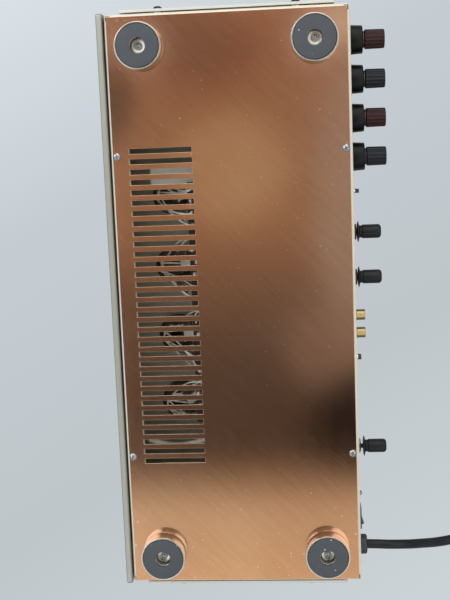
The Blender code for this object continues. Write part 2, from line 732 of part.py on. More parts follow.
def make_tube_sockets():
    """Moulded socket through the chassis top: ring above, body below, a circle of solder lugs."""
    ring = SOCKET_RING_DIAMETER / 2
    body = SOCKET_BODY_DIAMETER / 2
    foot = SOCKET_FOOT_DIAMETER / 2
    bore = TUBE_KEY_DIAMETER / 2 + SEAT_GAP
    top = SOCKET_RING_HEIGHT + SEAT_GAP
    body_low = -SOCKET_BODY_DEPTH
    foot_low = body_low - SOCKET_FOOT_DEPTH
    profile = (
        (bore, top),
        (ring - SEAT_GAP, top),
        (ring, top - SEAT_GAP),
        (ring, SEAT_GAP),
        (body, SEAT_GAP),
        (body, body_low),
        (foot, body_low),
        (foot, foot_low),
        (bore, foot_low),
    )
    moulding = turned("tube_socket", profile, SIDES_MEDIUM, closed=True)
    lug = block(
        "lug",
        (-SOCKET_LUG_THICKNESS / 2, -SOCKET_LUG_WIDTH / 2, foot_low - SOCKET_LUG_LENGTH),
        (SOCKET_LUG_THICKNESS / 2, SOCKET_LUG_WIDTH / 2, foot_low + OVERRUN),
    )
    moves = []
    for i in range(SOCKET_LUG_COUNT):
        turn = Matrix.Rotation((i + 0.5) * 2 * math.pi / SOCKET_LUG_COUNT, 4, "Z")
        moves.append(turn @ at(SOCKET_LUG_CIRCLE / 2, 0, 0))
    lugs = joined("lugs", [lug] * SOCKET_LUG_COUNT, moves)
    mesh = shaped(moulding, [("UNION", lugs)])
    for number, x in enumerate(TUBE_XS, 1):
        place(f"tube_socket_{number}", mesh, bakelite, (x, TUBE_ROW_Y, CHASSIS_TOP))


def make_driver_stage():
    """Two small tubes in sockets on a board that hangs from the chassis top on standoffs."""
    socket_top = TOP_INSIDE - SEAT_GAP
    board_top = socket_top - DRIVER_SOCKET_HEIGHT
    board_low = board_top - BOARD_THICKNESS
    half_width, half_depth = BOARD_WIDTH / 2, BOARD_DEPTH / 2
    board = block(
        "driver_board", (-half_width, -half_depth, board_low), (half_width, half_depth, board_top)
    )
    sunk = board_top - BOARD_THICKNESS / 2
    socket = disc("socket", DRIVER_SOCKET_DIAMETER, sunk, socket_top, SIDES_SMALL)
    standoff = disc("standoff", BOARD_STANDOFF, sunk, socket_top, SIDES_SMALL)
    can = disc(
        "capacitor", BOARD_CAPACITOR_DIAMETER, board_low - BOARD_CAPACITOR_LENGTH, sunk, SIDES_SMALL
    )
    corner_x = half_width - BOARD_STANDOFF_INSET
    corner_y = half_depth - BOARD_STANDOFF_INSET
    moves = [at(x, 0, 0) for x in (-DRIVER_X, DRIVER_X)]
    moves += [at(sx * corner_x, sy * corner_y, 0) for sx in (-1, 1) for sy in (-1, 1)]
    moves += [at(x, 0, 0) for x in (-BOARD_CAPACITOR_X, BOARD_CAPACITOR_X)]
    parts = joined("board_parts", [socket] * 2 + [standoff] * 4 + [can] * 2, moves)
    mesh = shaped(board, [("UNION", parts)])
    place("driver_board", mesh, laminate, (0, DRIVER_ROW_Y, 0))

    radius = DRIVER_DIAMETER / 2
    shoulder = DRIVER_HEIGHT - DRIVER_DOME - DRIVER_TIP
    tip_radius = DRIVER_TIP / 3
    profile = [(0, 0), (radius - DRIVER_TIP / 2, 0), (radius, DRIVER_TIP), (radius, shoulder)]
    profile += dome_points(radius, shoulder, DRIVER_DOME, 4)[:-1]
    profile += [(tip_radius, shoulder + DRIVER_DOME), (0, DRIVER_HEIGHT)]
    tube = turned("driver_tube", profile, SIDES_MEDIUM)
    for side, x in (("left", -DRIVER_X), ("right", DRIVER_X)):
        place(f"driver_tube_{side}", tube, tube_glass, (x, DRIVER_ROW_Y, TOP_INSIDE))


def make_transformer(name, width, height, x):
    """A drawn cover with rounded corners and top edge, on a flange that is bolted down."""
    front = DRIVER_ROW_Y + DRIVER_HOLE / 2 + TRANSFORMER_FRONT_GAP
    rear = REAR_FACE - TRANSFORMER_REAR_MARGIN
    depth = rear - front - 2 * COVER_FLANGE
    base = SEAT_GAP
    flange_top = base + COVER_FLANGE_THICKNESS
    top = base + height
    outer = COVER_CORNER + COVER_FLANGE / 2
    loops = [
        rounded_rectangle(width + 2 * COVER_FLANGE, depth + 2 * COVER_FLANGE, outer, base),
        rounded_rectangle(width + 2 * COVER_FLANGE, depth + 2 * COVER_FLANGE, outer, flange_top),
        rounded_rectangle(width, depth, COVER_CORNER, flange_top),
    ]
    for i in range(4):
        angle = i / 3 * math.pi / 2
        inset = COVER_TOP_RADIUS * (1 - math.cos(angle))
        level = top - COVER_TOP_RADIUS * (1 - math.sin(angle))
        loops.append(
            rounded_rectangle(width - 2 * inset, depth - 2 * inset, COVER_CORNER - inset, level)
        )
    mesh = lofted(name, loops)
    place(name, mesh, cover_enamel, (x, (front + rear) / 2, CHASSIS_TOP))


def make_transformers():
    step = (POWER_TRANSFORMER_WIDTH + OUTPUT_TRANSFORMER_WIDTH) / 2 + TRANSFORMER_SPACING
    make_transformer("power_transformer", POWER_TRANSFORMER_WIDTH, POWER_TRANSFORMER_HEIGHT, 0)
    for side, x in (("left", -step), ("right", step)):
        make_transformer(
            f"output_transformer_{side}", OUTPUT_TRANSFORMER_WIDTH, OUTPUT_TRANSFORMER_HEIGHT, x
        )


def make_post_base():
    """Insulating collar outside, nut inside, and the threaded stud through both."""
    stud = POST_STUD / 2
    neck = POST_NECK / 2
    nut = POST_NUT / 2
    root = POST_COLLAR_DIAMETER / 2
    tip = POST_COLLAR_TIP / 2
    collar_end = POST_COLLAR_LENGTH
    inside = -SHEET - SEAT_GAP
    profile = (
        (0, -POST_STUD_INNER),
        (stud, -POST_STUD_INNER),
        (stud, inside - POST_NUT_THICKNESS),
        (nut, inside - POST_NUT_THICKNESS),
        (nut, inside),
        (neck, inside),
        (neck, SEAT_GAP),
        (root, SEAT_GAP),
        (tip, collar_end - POST_COLLAR_EDGE),
        (tip - POST_COLLAR_EDGE, collar_end),
        (stud, collar_end),
        (stud, POST_STUD_OUTER),
        (0, POST_STUD_OUTER),
    )
    return turned("post_base", profile, SIDES_MEDIUM)


def make_post_cap():
    """Fluted cap with a blind threaded bore from its inner end."""
    flutes = POST_CAP_FLUTES
    root, tip = POST_CAP_DIAMETER / 2, POST_CAP_TIP / 2
    chamfer = POST_CAP_CHAMFER
    stations = (
        (0, root - chamfer, 0),
        (chamfer, root, POST_CAP_FLUTE_DEPTH),
        (POST_CAP_LENGTH - chamfer, tip, POST_CAP_FLUTE_DEPTH),
        (POST_CAP_LENGTH, tip - chamfer, 0),
    )
    loops = []
    for level, radius, depth in stations:
        loop = []
        for i in range(2 * flutes):
            angle = i * math.pi / flutes
            reach = radius - depth * (i % 2)
            loop.append((reach * math.cos(angle), reach * math.sin(angle), level))
        loops.append(loop)
    body = lofted("post_cap", loops)
    bore = disc(
        "bore", POST_STUD + 2 * THREAD_CLEARANCE, -OVERRUN, POST_CAP_BORE_LENGTH, SIDES_SMALL
    )
    return shaped(body, [("DIFFERENCE", bore)])


def make_posts():
    base, cap = make_post_base(), make_post_cap()
    bore = POST_STUD / 2 + THREAD_CLEARANCE
    rim = POST_WASHER / 2
    ring = ((bore, 0), (rim, 0), (rim, POST_WASHER_THICKNESS), (bore, POST_WASHER_THICKNESS))
    washer = turned("post_washer", ring, SIDES_MEDIUM, closed=True)
    for number, x in enumerate(POST_XS, 1):
        colour = post_maroon if number % 2 else post_black
        cap_mesh = cap if number % 2 else cap.copy()
        place(f"post_base_{number}", base, collar_black, (x, REAR_FACE, REAR_ROW_Z), FACING_REAR)
        place(f"post_washer_{number}", washer, gilt_brass, (x, POST_WASHER_Y, REAR_ROW_Z), FACING_REAR)
        place(f"post_cap_{number}", cap_mesh, colour, (x, POST_CAP_Y, REAR_ROW_Z), FACING_REAR)


def make_control(name, body_diameter, body_depth, x):
    """Body behind the wall, bored bushing through it, hexagon nut outside."""
    bore = SHAFT_DIAMETER / 2 + SHAFT_CLEARANCE
    body = body_diameter / 2
    bush = BUSHING_DIAMETER / 2
    inside = -SHEET - SEAT_GAP
    nut_top = SEAT_GAP + CONTROL_NUT_THICKNESS
    profile = (
        (0, inside - body_depth),
        (body, inside - body_depth),
        (body, inside),
        (bush, inside),
        (bush, nut_top),
        (bore, nut_top),
        (bore, inside),
        (0, inside),
    )
    barrel = turned(name, profile, SIDES_SMALL)
    nut = disc("nut", CONTROL_NUT, SEAT_GAP, nut_top - SEAT_GAP, SIDES_NUT)
    hole = disc("hole", 2 * bore, -OVERRUN, nut_top + OVERRUN, SIDES_SMALL)
    nut_ring = shaped(nut, [("DIFFERENCE", hole)])
    mesh = shaped(barrel, [("UNION", nut_ring)])
    place(name, mesh, plated_steel, (x, REAR_FACE, REAR_ROW_Z), FACING_REAR)


def make_knob(name, standoff, x):
    """Round knob with a thin skirt, a short neck and a rounded end; its shaft runs in the bushing."""
    skirt = KNOB_FLANGE / 2
    neck = KNOB_NECK / 2
    body = KNOB_BODY / 2
    shaft = SHAFT_DIAMETER / 2
    shaft_end = -SHEET
    sharp = KNOB_FLANGE_THICKNESS / 4
    face = standoff + KNOB_FLANGE_THICKNESS
    shoulder = face + KNOB_NECK_LENGTH
    end = standoff + KNOB_LENGTH
    profile = [
        (0, shaft_end),
        (shaft, shaft_end),
        (shaft, standoff),
        (body, standoff),
        (skirt, standoff + KNOB_FLANGE_THICKNESS / 2 - sharp),
        (skirt, standoff + KNOB_FLANGE_THICKNESS / 2 + sharp),
        (body, face),
        (neck, face + sharp),
        (neck, shoulder),
        (body, shoulder + sharp),
        (body, end - KNOB_END_RADIUS),
    ]
    for i in range(1, 4):
        angle = i / 3 * math.pi / 2
        radius = body - KNOB_END_RADIUS * (1 - math.cos(angle))
        profile.append((radius, end - KNOB_END_RADIUS * (1 - math.sin(angle))))
    profile.append((0, end))
    mesh = turned(name, profile, SIDES_MEDIUM)
    place(name, mesh, knob_plastic, (x, REAR_FACE, REAR_ROW_Z), FACING_REAR)


def make_controls():
    make_control("level_control_right", LEVEL_BODY_DIAMETER, LEVEL_BODY_DEPTH, LEVEL_RIGHT_X)
    make_control("level_control_left", LEVEL_BODY_DIAMETER, LEVEL_BODY_DEPTH, LEVEL_LEFT_X)
    make_control("selector_switch", SELECTOR_BODY_DIAMETER, SELECTOR_BODY_DEPTH, SELECTOR_X)
    make_knob("level_knob_right", LEVEL_KNOB_STANDOFF, LEVEL_RIGHT_X)
    make_knob("level_knob_left", LEVEL_KNOB_STANDOFF, LEVEL_LEFT_X)
    make_knob("selector_knob", SELECTOR_KNOB_STANDOFF, SELECTOR_X)


def make_input_jacks():
    """Two bored barrels with collars outside the wall, on one block inside it."""
    barrel = JACK_BARREL / 2
    collar = JACK_COLLAR / 2
    neck = JACK_NECK / 2
    bore = JACK_BORE / 2
    inside = -SHEET - SEAT_GAP
    end = SEAT_GAP + JACK_LENGTH
    profile = (
        (0, inside - OVERRUN),
        (neck, inside - OVERRUN),
        (neck, SEAT_GAP),
        (collar, SEAT_GAP),
        (collar, SEAT_GAP + JACK_COLLAR_LENGTH),
        (barrel, SEAT_GAP + JACK_COLLAR_LENGTH),
        (barrel, end),
        (bore, end),
        (bore, end - JACK_BORE_DEPTH),
        (0, end - JACK_BORE_DEPTH),
    )
    jack = turned("jack", profile, SIDES_SMALL)
    half_width, half_height = JACK_BLOCK_WIDTH / 2, JACK_BLOCK_HEIGHT / 2
    carrier = block(
        "input_jacks",
        (-half_width, -half_height, inside - JACK_BLOCK_DEPTH),
        (half_width, half_height, inside),
    )
    jacks = joined("jacks", [jack] * 2, [at(sx * JACK_PITCH / 2, 0, 0) for sx in (-1, 1)])
    mesh = shaped(carrier, [("UNION", jacks)])
    middle = sum(JACK_XS) / 2
    place("input_jacks", mesh, gold_plate, (middle, REAR_FACE, REAR_ROW_Z), FACING_REAR)


def switch_body_width():
    return SWITCH_WIDTH - 2 * SWITCH_LEDGE


def switch_body_height():
    return SWITCH_HEIGHT - 2 * SWITCH_LEDGE


def make_mains_switch():
    """Housing with a chamfered bezel and an open well, and the rocker on its two pins."""
    face = SEAT_GAP + SWITCH_BEZEL
    chamfer = SWITCH_BEZEL_CHAMFER
    loops = [
        rounded_rectangle(switch_body_width(), switch_body_height(), SWITCH_LEDGE, level)
        for level in (-SWITCH_BODY_DEPTH, SEAT_GAP)
    ]
    loops += [
        rounded_rectangle(SWITCH_WIDTH - 2 * inset, SWITCH_HEIGHT - 2 * inset, SWITCH_LEDGE, level)
        for level, inset in ((SEAT_GAP, 0), (face - chamfer, 0), (face, chamfer))
    ]
    well_x = switch_body_width() / 2 - SWITCH_WALL
    well_y = switch_body_height() / 2 - SWITCH_WALL
    well = block(
        "well", (-well_x, -well_y, face - SWITCH_WELL_DEPTH), (well_x, well_y, face + OVERRUN)
    )
    across = Matrix.Rotation(math.pi / 2, 4, "X")
    pin_reach = well_y + SWITCH_WALL / 2
    pivot = face - ROCKER_PIVOT_DEPTH
    pin_hole_reach = pin_reach + SEAT_GAP
    pin_hole = disc(
        "pin_hole", ROCKER_PIN + 2 * SEAT_GAP, -pin_hole_reach, pin_hole_reach, SIDES_SMALL
    )
    pin_hole.transform(at(0, 0, pivot) @ across)
    housing = shaped(lofted("switch_housing", loops), [("DIFFERENCE", well), ("DIFFERENCE", pin_hole)])
    location = (SWITCH_X, REAR_FACE, REAR_ROW_Z)
    place("switch_housing", housing, switch_plastic, location, FACING_REAR)

    half = well_x - ROCKER_CLEARANCE
    side = well_y - ROCKER_CLEARANCE
    ends = ROCKER_PIVOT_DEPTH + half * math.tan(ROCKER_TILT)
    inset = ends * math.tan(ROCKER_TILT)
    outline = []
    for step in range(-2, 3):
        reach = step / 2
        outline.append((reach * (half - inset), ends - ROCKER_DISH * (1 - reach * reach)))
    outline += [
        (half - inset / 2, 0),
        (half / 2, -ROCKER_SKIRT),
        (-half / 2, -ROCKER_SKIRT),
        (-half + inset / 2, 0),
    ]
    loops = [[(x, level, z) for x, z in outline] for level in (-side, side)]
    pin = disc("pin", ROCKER_PIN, -pin_reach, pin_reach, SIDES_SMALL)
    pin.transform(across)
    rocker = shaped(lofted("switch_rocker", loops), [("UNION", pin)])
    location = (SWITCH_X, REAR_FACE + pivot, REAR_ROW_Z)
    place("switch_rocker", rocker, rocker_plastic, location, (-math.pi / 2, 0, -ROCKER_TILT))


def make_gland():
    """Strain relief: rounded head outside, neck through the wall, barb and jaw inside."""
    head = GLAND_DIAMETER / 2
    neck = GLAND_NECK / 2
    barb = GLAND_BARB / 2
    inside = -SHEET - SEAT_GAP
    profile = [
        (0, inside - GLAND_BARB_LENGTH),
        (neck - SEAT_GAP, inside - GLAND_BARB_LENGTH),
        (barb, inside),
        (neck, inside),
        (neck, SEAT_GAP),
        (head, SEAT_GAP),
        (head, GLAND_PROUD - GLAND_ROUND),
    ]
    for i in range(1, 4):
        angle = i / 3 * math.pi / 2
        radius = head - GLAND_ROUND * (1 - math.cos(angle))
        profile.append((radius, GLAND_PROUD - GLAND_ROUND * (1 - math.sin(angle))))
    profile.append((0, GLAND_PROUD))
    mesh = turned("cord_gland", profile, SIDES_MEDIUM)
    place("cord_gland", mesh, gland_nylon, (GLAND_X, REAR_FACE, REAR_ROW_Z), FACING_REAR)


def smooth_line(points, step):
    """Points read from a smooth curve through a route's own points, about a step apart."""
    route = [Vector(point) for point in points]
    fine = []
    for i in range(len(route) - 1):
        before = route[max(i - 1, 0)]
        start, end = route[i], route[i + 1]
        after = route[min(i + 2, len(route) - 1)]
        pieces = max(1, round((end - start).length / step))
        for k in range(pieces):
            t = k / pieces
            fine.append(
                0.5
                * (
                    2 * start
                    + (end - before) * t
                    + (2 * before - 5 * start + 4 * end - after) * t**2
                    + (3 * start - before - 3 * end + after) * t**3
                )
            )
    return [*fine, route[-1]]


def tube_along(name, points, diameter, resolution, material):
    """A round tube with filled ends along a line of points."""
    curve = bpy.data.curves.new(name, "CURVE")
    curve.dimensions = "3D"
    curve.bevel_depth = diameter / 2
    curve.bevel_resolution = resolution
    curve.use_fill_caps = True
    spline = curve.splines.new("POLY")
    spline.points.add(len(points) - 1)
    for spot, point in zip(spline.points, points):
        spot.co = (*point, 1)
    curve.materials.append(material)
    obj = bpy.data.objects.new(name, curve)
    obj.parent = frame
    bpy.context.scene.collection.objects.link(obj)
    return obj


def coil_points():
    """Two layers of turns: spiral in on the floor, climb where the spiral turns back, spiral out."""
    step = CORD_DIAMETER + COIL_TURN_GAP
    floor = CORD_DIAMETER / 2 + CORD_FLOOR_CLEARANCE
    count = round(COIL_TURNS * COIL_POINTS_PER_TURN)
    middle = COIL_TURNS / 2
    points = []
    for i in range(count + 1):
        turn = i / count * COIL_TURNS
        inward = min(turn, COIL_TURNS - turn)
        radius = COIL_OUTER_RADIUS - step * inward
        climb = min(max((turn - middle) * 2 + 0.5, 0), 1)
        level = floor + step * climb * climb * (3 - 2 * climb)
        angle = math.pi - turn * 2 * math.pi
        x = COIL_CENTRE[0] + radius * math.cos(angle)
        y = COIL_CENTRE[1] + radius * math.sin(angle)
        points.append(Vector((x, y, level)))
    for end, beside, reach in ((0, 1, COIL_LEAD_IN), (-1, -2, COIL_TAIL)):
        across = points[end] - Vector((*COIL_CENTRE, points[end].z))
        along = Vector((-across.y, across.x, 0)).normalized()
        if along.dot(points[end] - points[beside]) < 0:
            along.negate()
        straight = points[end] + along * reach
        points.insert(0 if end == 0 else len(points), straight)
    return points


def least_gap(points, diameter):
    """The least distance between turns, less the diameter, over points half a turn or more apart."""
    spots = np.array([tuple(point) for point in points])
    apart = COIL_POINTS_PER_TURN // 2
    least = min(
        np.linalg.norm(spots[i + apart :] - spots[i], axis=1).min()
        for i in range(len(spots) - apart)
    )
    return least - diameter


def length_of(points):
    return sum((b - a).length for a, b in zip(points, points[1:]))


def make_cord():
    turns = coil_points()
    route = smooth_line(CORD_ROUTE, CORD_DIAMETER)
    start = turns[0]
    run = [point for point in route if point.y < start.y - 1.5 * CORD_DIAMETER]
    run += [start - Vector((0, back, 0)) for back in (CORD_DIAMETER, SEAT_GAP)]
    tube_along("mains_cord", run, CORD_DIAMETER, 2, cord_vinyl)
    tube_along("cord_coil", turns, CORD_DIAMETER, 1, cord_vinyl)
    print("cord_coil least gap in mm:", round(least_gap(turns, CORD_DIAMETER) / MM, 2))
    print("cord length in m:", round(length_of(run) + length_of(turns), 4))
    make_plug(turns[-1], (turns[-1] - turns[-2]).normalized())


def make_plug(entry, heading):
    """Moulded plug lying on the floor in line with the cord's end, with two flat blades."""
    height = 2 * entry.z
    neck = CORD_DIAMETER * (1 + PLUG_NECK_SHARE)
    neck_end, shoulder, full = [PLUG_BODY_LENGTH * share for share in PLUG_STATION_SHARES]
    wide, tall = PLUG_SHOULDER_SHARES
    stations = (
        (SEAT_GAP, neck, neck),
        (neck_end, neck, neck),
        (shoulder, PLUG_BODY_WIDTH * wide, height * tall),
        (full, PLUG_BODY_WIDTH, height),
        (PLUG_BODY_LENGTH, PLUG_BODY_WIDTH, height),
    )
    loops = [
        rounded_rectangle(w, h, min(w, h) * PLUG_CORNER_SHARE, level) for level, w, h in stations
    ]
    blade_half = PLUG_BLADE_THICKNESS / 2
    blade = block(
        "blade",
        (-blade_half, -PLUG_BLADE_WIDTH / 2, PLUG_BODY_LENGTH - OVERRUN),
        (blade_half, PLUG_BLADE_WIDTH / 2, PLUG_BODY_LENGTH + PLUG_BLADE_LENGTH),
    )
    blades = joined("blades", [blade] * 2, [at(s * PLUG_BLADE_PITCH / 2, 0, 0) for s in (-1, 1)])
    mesh = shaped(lofted("mains_plug", loops), [("UNION", blades)])
    turn = math.atan2(-heading.x, heading.y)
    place("mains_plug", mesh, plug_vinyl, entry, (-math.pi / 2, 0, turn))


clear_scene()

chassis_paint = finish("chassis_paint", (0.62, 0.60, 0.54), 0.45)
copper_sheet = finish("copper_sheet", (0.62, 0.34, 0.22), 0.28, 1.0)
panel_aluminium = finish("panel_aluminium", (0.60, 0.60, 0.58), 0.35, 0.9)
side_paint = finish("side_paint", (0.78, 0.79, 0.79), 0.4)
turned_aluminium = finish("turned_aluminium", (0.80, 0.79, 0.77), 0.22, 1.0)
pad_rubber = finish("pad_rubber", (0.075, 0.085, 0.095), 0.75)
plated_steel = finish("plated_steel", (0.62, 0.62, 0.63), 0.25, 1.0)
tube_glass = finish("tube_glass", (0.80, 0.82, 0.82), 0.05, 0.0, 0.7)
bakelite = finish("bakelite", (0.035, 0.03, 0.028), 0.45)
laminate = finish("laminate", (0.45, 0.47, 0.38), 0.5)
cover_enamel = finish("cover_enamel", (0.03, 0.032, 0.035), 0.3)
collar_black = finish("collar_black", (0.014, 0.015, 0.017), 0.35)
post_maroon = finish("post_maroon", (0.055, 0.02, 0.02), 0.4)
post_black = finish("post_black", (0.014, 0.015, 0.017), 0.4)
gilt_brass = finish("gilt_brass", (0.70, 0.52, 0.24), 0.25, 1.0)
gold_plate = finish("gold_plate", (0.72, 0.55, 0.22), 0.22, 1.0)
knob_plastic = finish("knob_plastic", (0.013, 0.015, 0.018), 0.4)
switch_plastic = finish("switch_plastic", (0.045, 0.06, 0.06), 0.4)
rocker_plastic = finish("rocker_plastic", (0.045, 0.065, 0.06), 0.35)
gland_nylon = finish("gland_nylon", (0.018, 0.022, 0.025), 0.45)
cord_vinyl = finish("cord_vinyl", (0.015, 0.018, 0.025), 0.4)
plug_vinyl = finish("plug_vinyl", (0.015, 0.018, 0.025), 0.45)

frame = bpy.data.objects.new("amplifier_frame", None)
frame.location = (0, -(PANEL_FRONT + POST_TIP) / 2, 0)
bpy.context.scene.collection.objects.link(frame)

place("chassis", make_chassis(), chassis_paint)
place("bottom_plate", make_bottom_plate(), copper_sheet)
make_feet()
make_plate_screws()
make_front_panel()
make_side_plates()
make_tube_sockets()
make_power_tubes()
make_driver_stage()
make_transformers()
make_posts()
make_controls()
make_input_jacks()
make_mains_switch()
make_gland()
make_cord()
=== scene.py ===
"""Looks for a stereo tube amplifier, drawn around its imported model.

The amplifier stands on its feet, with its rear wall towards +Y. The camera looks at its
copper underside with the right end up, as the photograph does.
"""

import math
import random

import bmesh
import bpy
from mathutils import Matrix, Vector


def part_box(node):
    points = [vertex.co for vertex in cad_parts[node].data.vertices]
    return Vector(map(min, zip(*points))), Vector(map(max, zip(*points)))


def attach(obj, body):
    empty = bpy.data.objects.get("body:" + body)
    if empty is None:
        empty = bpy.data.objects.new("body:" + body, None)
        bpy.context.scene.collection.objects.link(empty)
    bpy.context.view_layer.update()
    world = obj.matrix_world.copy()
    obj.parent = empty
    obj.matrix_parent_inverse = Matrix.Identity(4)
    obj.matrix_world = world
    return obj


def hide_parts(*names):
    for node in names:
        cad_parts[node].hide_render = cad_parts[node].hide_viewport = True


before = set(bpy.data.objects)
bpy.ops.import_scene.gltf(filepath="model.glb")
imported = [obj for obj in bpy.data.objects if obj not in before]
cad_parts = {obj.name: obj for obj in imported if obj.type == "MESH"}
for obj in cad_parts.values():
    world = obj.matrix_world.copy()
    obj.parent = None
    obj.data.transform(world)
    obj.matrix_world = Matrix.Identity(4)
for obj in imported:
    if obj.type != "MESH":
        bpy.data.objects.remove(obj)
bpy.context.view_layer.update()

# Chassis
# A pan of 1.6 mm steel, folded and welded, in a satin cream enamel that is sprayed on and baked.
# Its lip turns in below and carries the bottom plate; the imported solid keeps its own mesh.

MM = 0.001


def linear(colour):
    """A hex colour in Blender's linear light."""
    shares = [int(colour[i : i + 2], 16) / 255 for i in (1, 3, 5)]
    return (*[s / 12.92 if s <= 0.04045 else ((s + 0.055) / 1.055) ** 2.4 for s in shares], 1)


def surface(name):
    """A new material, with its node tree and its main shader."""
    material = bpy.data.materials.new(name)
    material.use_nodes = True
    return material, material.node_tree, material.node_tree.nodes["Principled BSDF"]


def feed(tree, node, inputs):
    """Sets a node's inputs, each to a value, a socket or another node's first live output."""
    for key, value in inputs.items():
        if isinstance(value, bpy.types.Node):
            value = next(socket for socket in value.outputs if socket.enabled)
        if isinstance(value, bpy.types.NodeSocket):
            tree.links.new(value, node.inputs[key])
        else:
            node.inputs[key].default_value = value


def add(tree, kind, inputs=None, **settings):
    """Adds a node with its settings and links."""
    node = tree.nodes.new(kind)
    for name, value in settings.items():
        setattr(node, name, value)
    feed(tree, node, inputs or {})
    return node


def worked(tree, shader, patches, grains, colours, roughness, depth, strength=1.0):
    """Two colours mixed by one pattern, with gloss and relief from another."""
    shades = {"Factor": patches, "A": linear(colours[0]), "B": linear(colours[1])}
    tint = add(tree, "ShaderNodeMix", shades, data_type="RGBA")
    gloss = add(tree, "ShaderNodeMapRange", {"Value": grains, "To Min": roughness[0], "To Max": roughness[1]})
    relief = add(tree, "ShaderNodeBump", {"Height": grains, "Distance": depth, "Strength": strength})
    feed(tree, shader, {"Base Color": tint, "Roughness": gloss, "Normal": relief})


def finish(name, colours, roughness, patch, grain, depth, stretch=(1, 1, 1), **sockets):
    """A surface whose two near colours lie in patches and whose grain varies gloss and relief.

    patch, grain and depth are real sizes; roughness is its low and high end.
    """
    material, tree, shader = surface(name)
    feed(tree, shader, {key.replace("_", " "): value for key, value in sockets.items()})
    where = add(tree, "ShaderNodeTexCoord").outputs["Object"]
    placed = add(tree, "ShaderNodeMapping", {"Vector": where, "Scale": stretch})
    patches = add(tree, "ShaderNodeTexNoise", {"Vector": placed, "Scale": 1 / patch, "Detail": 4.0})
    grains = add(tree, "ShaderNodeTexNoise", {"Vector": placed, "Scale": 1 / grain, "Detail": 2.0})
    worked(tree, shader, patches, grains, colours, roughness, depth)
    return material


def overlaid(tree, factor, colour):
    """Lays another colour over a finish, as far as the factor lets it show."""
    shader = tree.nodes["Principled BSDF"]
    under = shader.inputs["Base Color"].links[0].from_socket
    shades = {"Factor": factor, "A": under, "B": linear(colour)}
    feed(tree, shader, {"Base Color": add(tree, "ShaderNodeMix", shades, data_type="RGBA")})


# Baked enamel: a fine orange peel, drawn at 1.2 mm so that it shows, under an even satin gloss
cream_enamel = finish("cream_enamel", ("#d9d4c4", "#cfc9b6"), (0.30, 0.42), 60 * MM, 1.2 * MM, 0.02 * MM)
chassis_low, chassis_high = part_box("chassis")
SHEET = 1.6 * MM
SHADE_INSET_SHARE = 0.9


def darkened_inside(material, colour):
    """Darkens the inside of the pan, by place: a painted shade for its dim inside."""
    tree = material.node_tree
    where = add(tree, "ShaderNodeTexCoord").outputs["Object"]
    centre = (chassis_low + chassis_high) / 2
    half = (chassis_high - chassis_low) / 2 - Vector((SHEET, SHEET, SHEET / 2)) * SHADE_INSET_SHARE
    offset = add(tree, "ShaderNodeVectorMath", {0: where, 1: centre}, operation="SUBTRACT")
    size = add(tree, "ShaderNodeVectorMath", {0: offset}, operation="ABSOLUTE")
    past = add(tree, "ShaderNodeVectorMath", {0: size, 1: half}, operation="SUBTRACT")
    beyond = add(tree, "ShaderNodeSeparateXYZ", {0: past}).outputs
    side = add(tree, "ShaderNodeMath", {0: beyond["X"], 1: beyond["Y"]}, operation="MAXIMUM")
    any_side = add(tree, "ShaderNodeMath", {0: side, 1: beyond["Z"]}, operation="MAXIMUM")
    overlaid(tree, add(tree, "ShaderNodeMath", {0: any_side, 1: 0.0}, operation="LESS_THAN"), colour)


# The pan's inside is given a darker grey-cream: painted shade for the dim room behind the vent slots
darkened_inside(cream_enamel, "#a59f89")


def dress(node, material):
    """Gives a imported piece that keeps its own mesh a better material."""
    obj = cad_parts[node]
    obj.data.materials.clear()
    obj.data.materials.append(material)


dress("chassis", cream_enamel)

# Bottom plate
# A copper-coloured sheet with a ladder of 32 laser-cut vent slots, brushed by hand on a
# slant and lacquered, so it mirrors the room softly. Four screws hold it to the chassis lip.

SLOT_COUNT = 32
SLOT_PITCH = 7.66 * MM
SLOT_WIDTH = 3.8 * MM
SLOT_LENGTH = 47 * MM
PLATE_EDGE_BREAK = 0.18 * MM
plate_low, plate_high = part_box("bottom_plate")
socket_low, socket_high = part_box("tube_socket_1")
tube_row_y = (socket_low.y + socket_high.y) / 2


def growing(name, numbers=(), vectors=(), counts=()):
    """A new geometry tree with named inputs, its input sockets, and a call that closes it."""
    tree = bpy.data.node_groups.new(name, "GeometryNodeTree")
    sockets = [("Geometry", "OUTPUT", "Geometry"), ("Geometry", "INPUT", "Geometry")]
    sockets += [(label, "INPUT", "Float") for label in numbers]
    sockets += [(label, "INPUT", "Vector") for label in vectors]
    sockets += [(label, "INPUT", "Int") for label in counts]
    for label, side, kind in [*sockets, ("Material", "INPUT", "Material")]:
        tree.interface.new_socket(label, in_out=side, socket_type=f"NodeSocket{kind}")
    given = tree.nodes.new("NodeGroupInput").outputs

    def close(geometry):
        whole = add(tree, "GeometryNodeRealizeInstances", {"Geometry": geometry})
        painted = add(tree, "GeometryNodeSetMaterial", {"Geometry": whole, "Material": given["Material"]})
        add(tree, "NodeGroupOutput", {"Geometry": painted})

    return tree, given, close


def grown(tree, material, sizes, points=(), base=None):
    """The plain mesh that a tree makes on these points, or of a base mesh."""
    seed = base or bpy.data.meshes.new(tree.name)
    if not base:
        seed.from_pydata([tuple(point) for point in points], [], [])
    carrier = bpy.data.objects.new(tree.name, seed)
    bpy.context.scene.collection.objects.link(carrier)
    modifier = carrier.modifiers.new("made", "NODES")
    modifier.node_group = tree
    sockets = {s.name: s.identifier for s in tree.interface.items_tree if s.in_out == "INPUT"}
    for label, value in {**sizes, "Material": material}.items():
        modifier[sockets[label]] = value
    graph = bpy.context.evaluated_depsgraph_get()
    mesh = bpy.data.meshes.new_from_object(carrier.evaluated_get(graph))
    bpy.data.objects.remove(carrier, do_unlink=True)
    bpy.data.meshes.remove(seed)
    return mesh


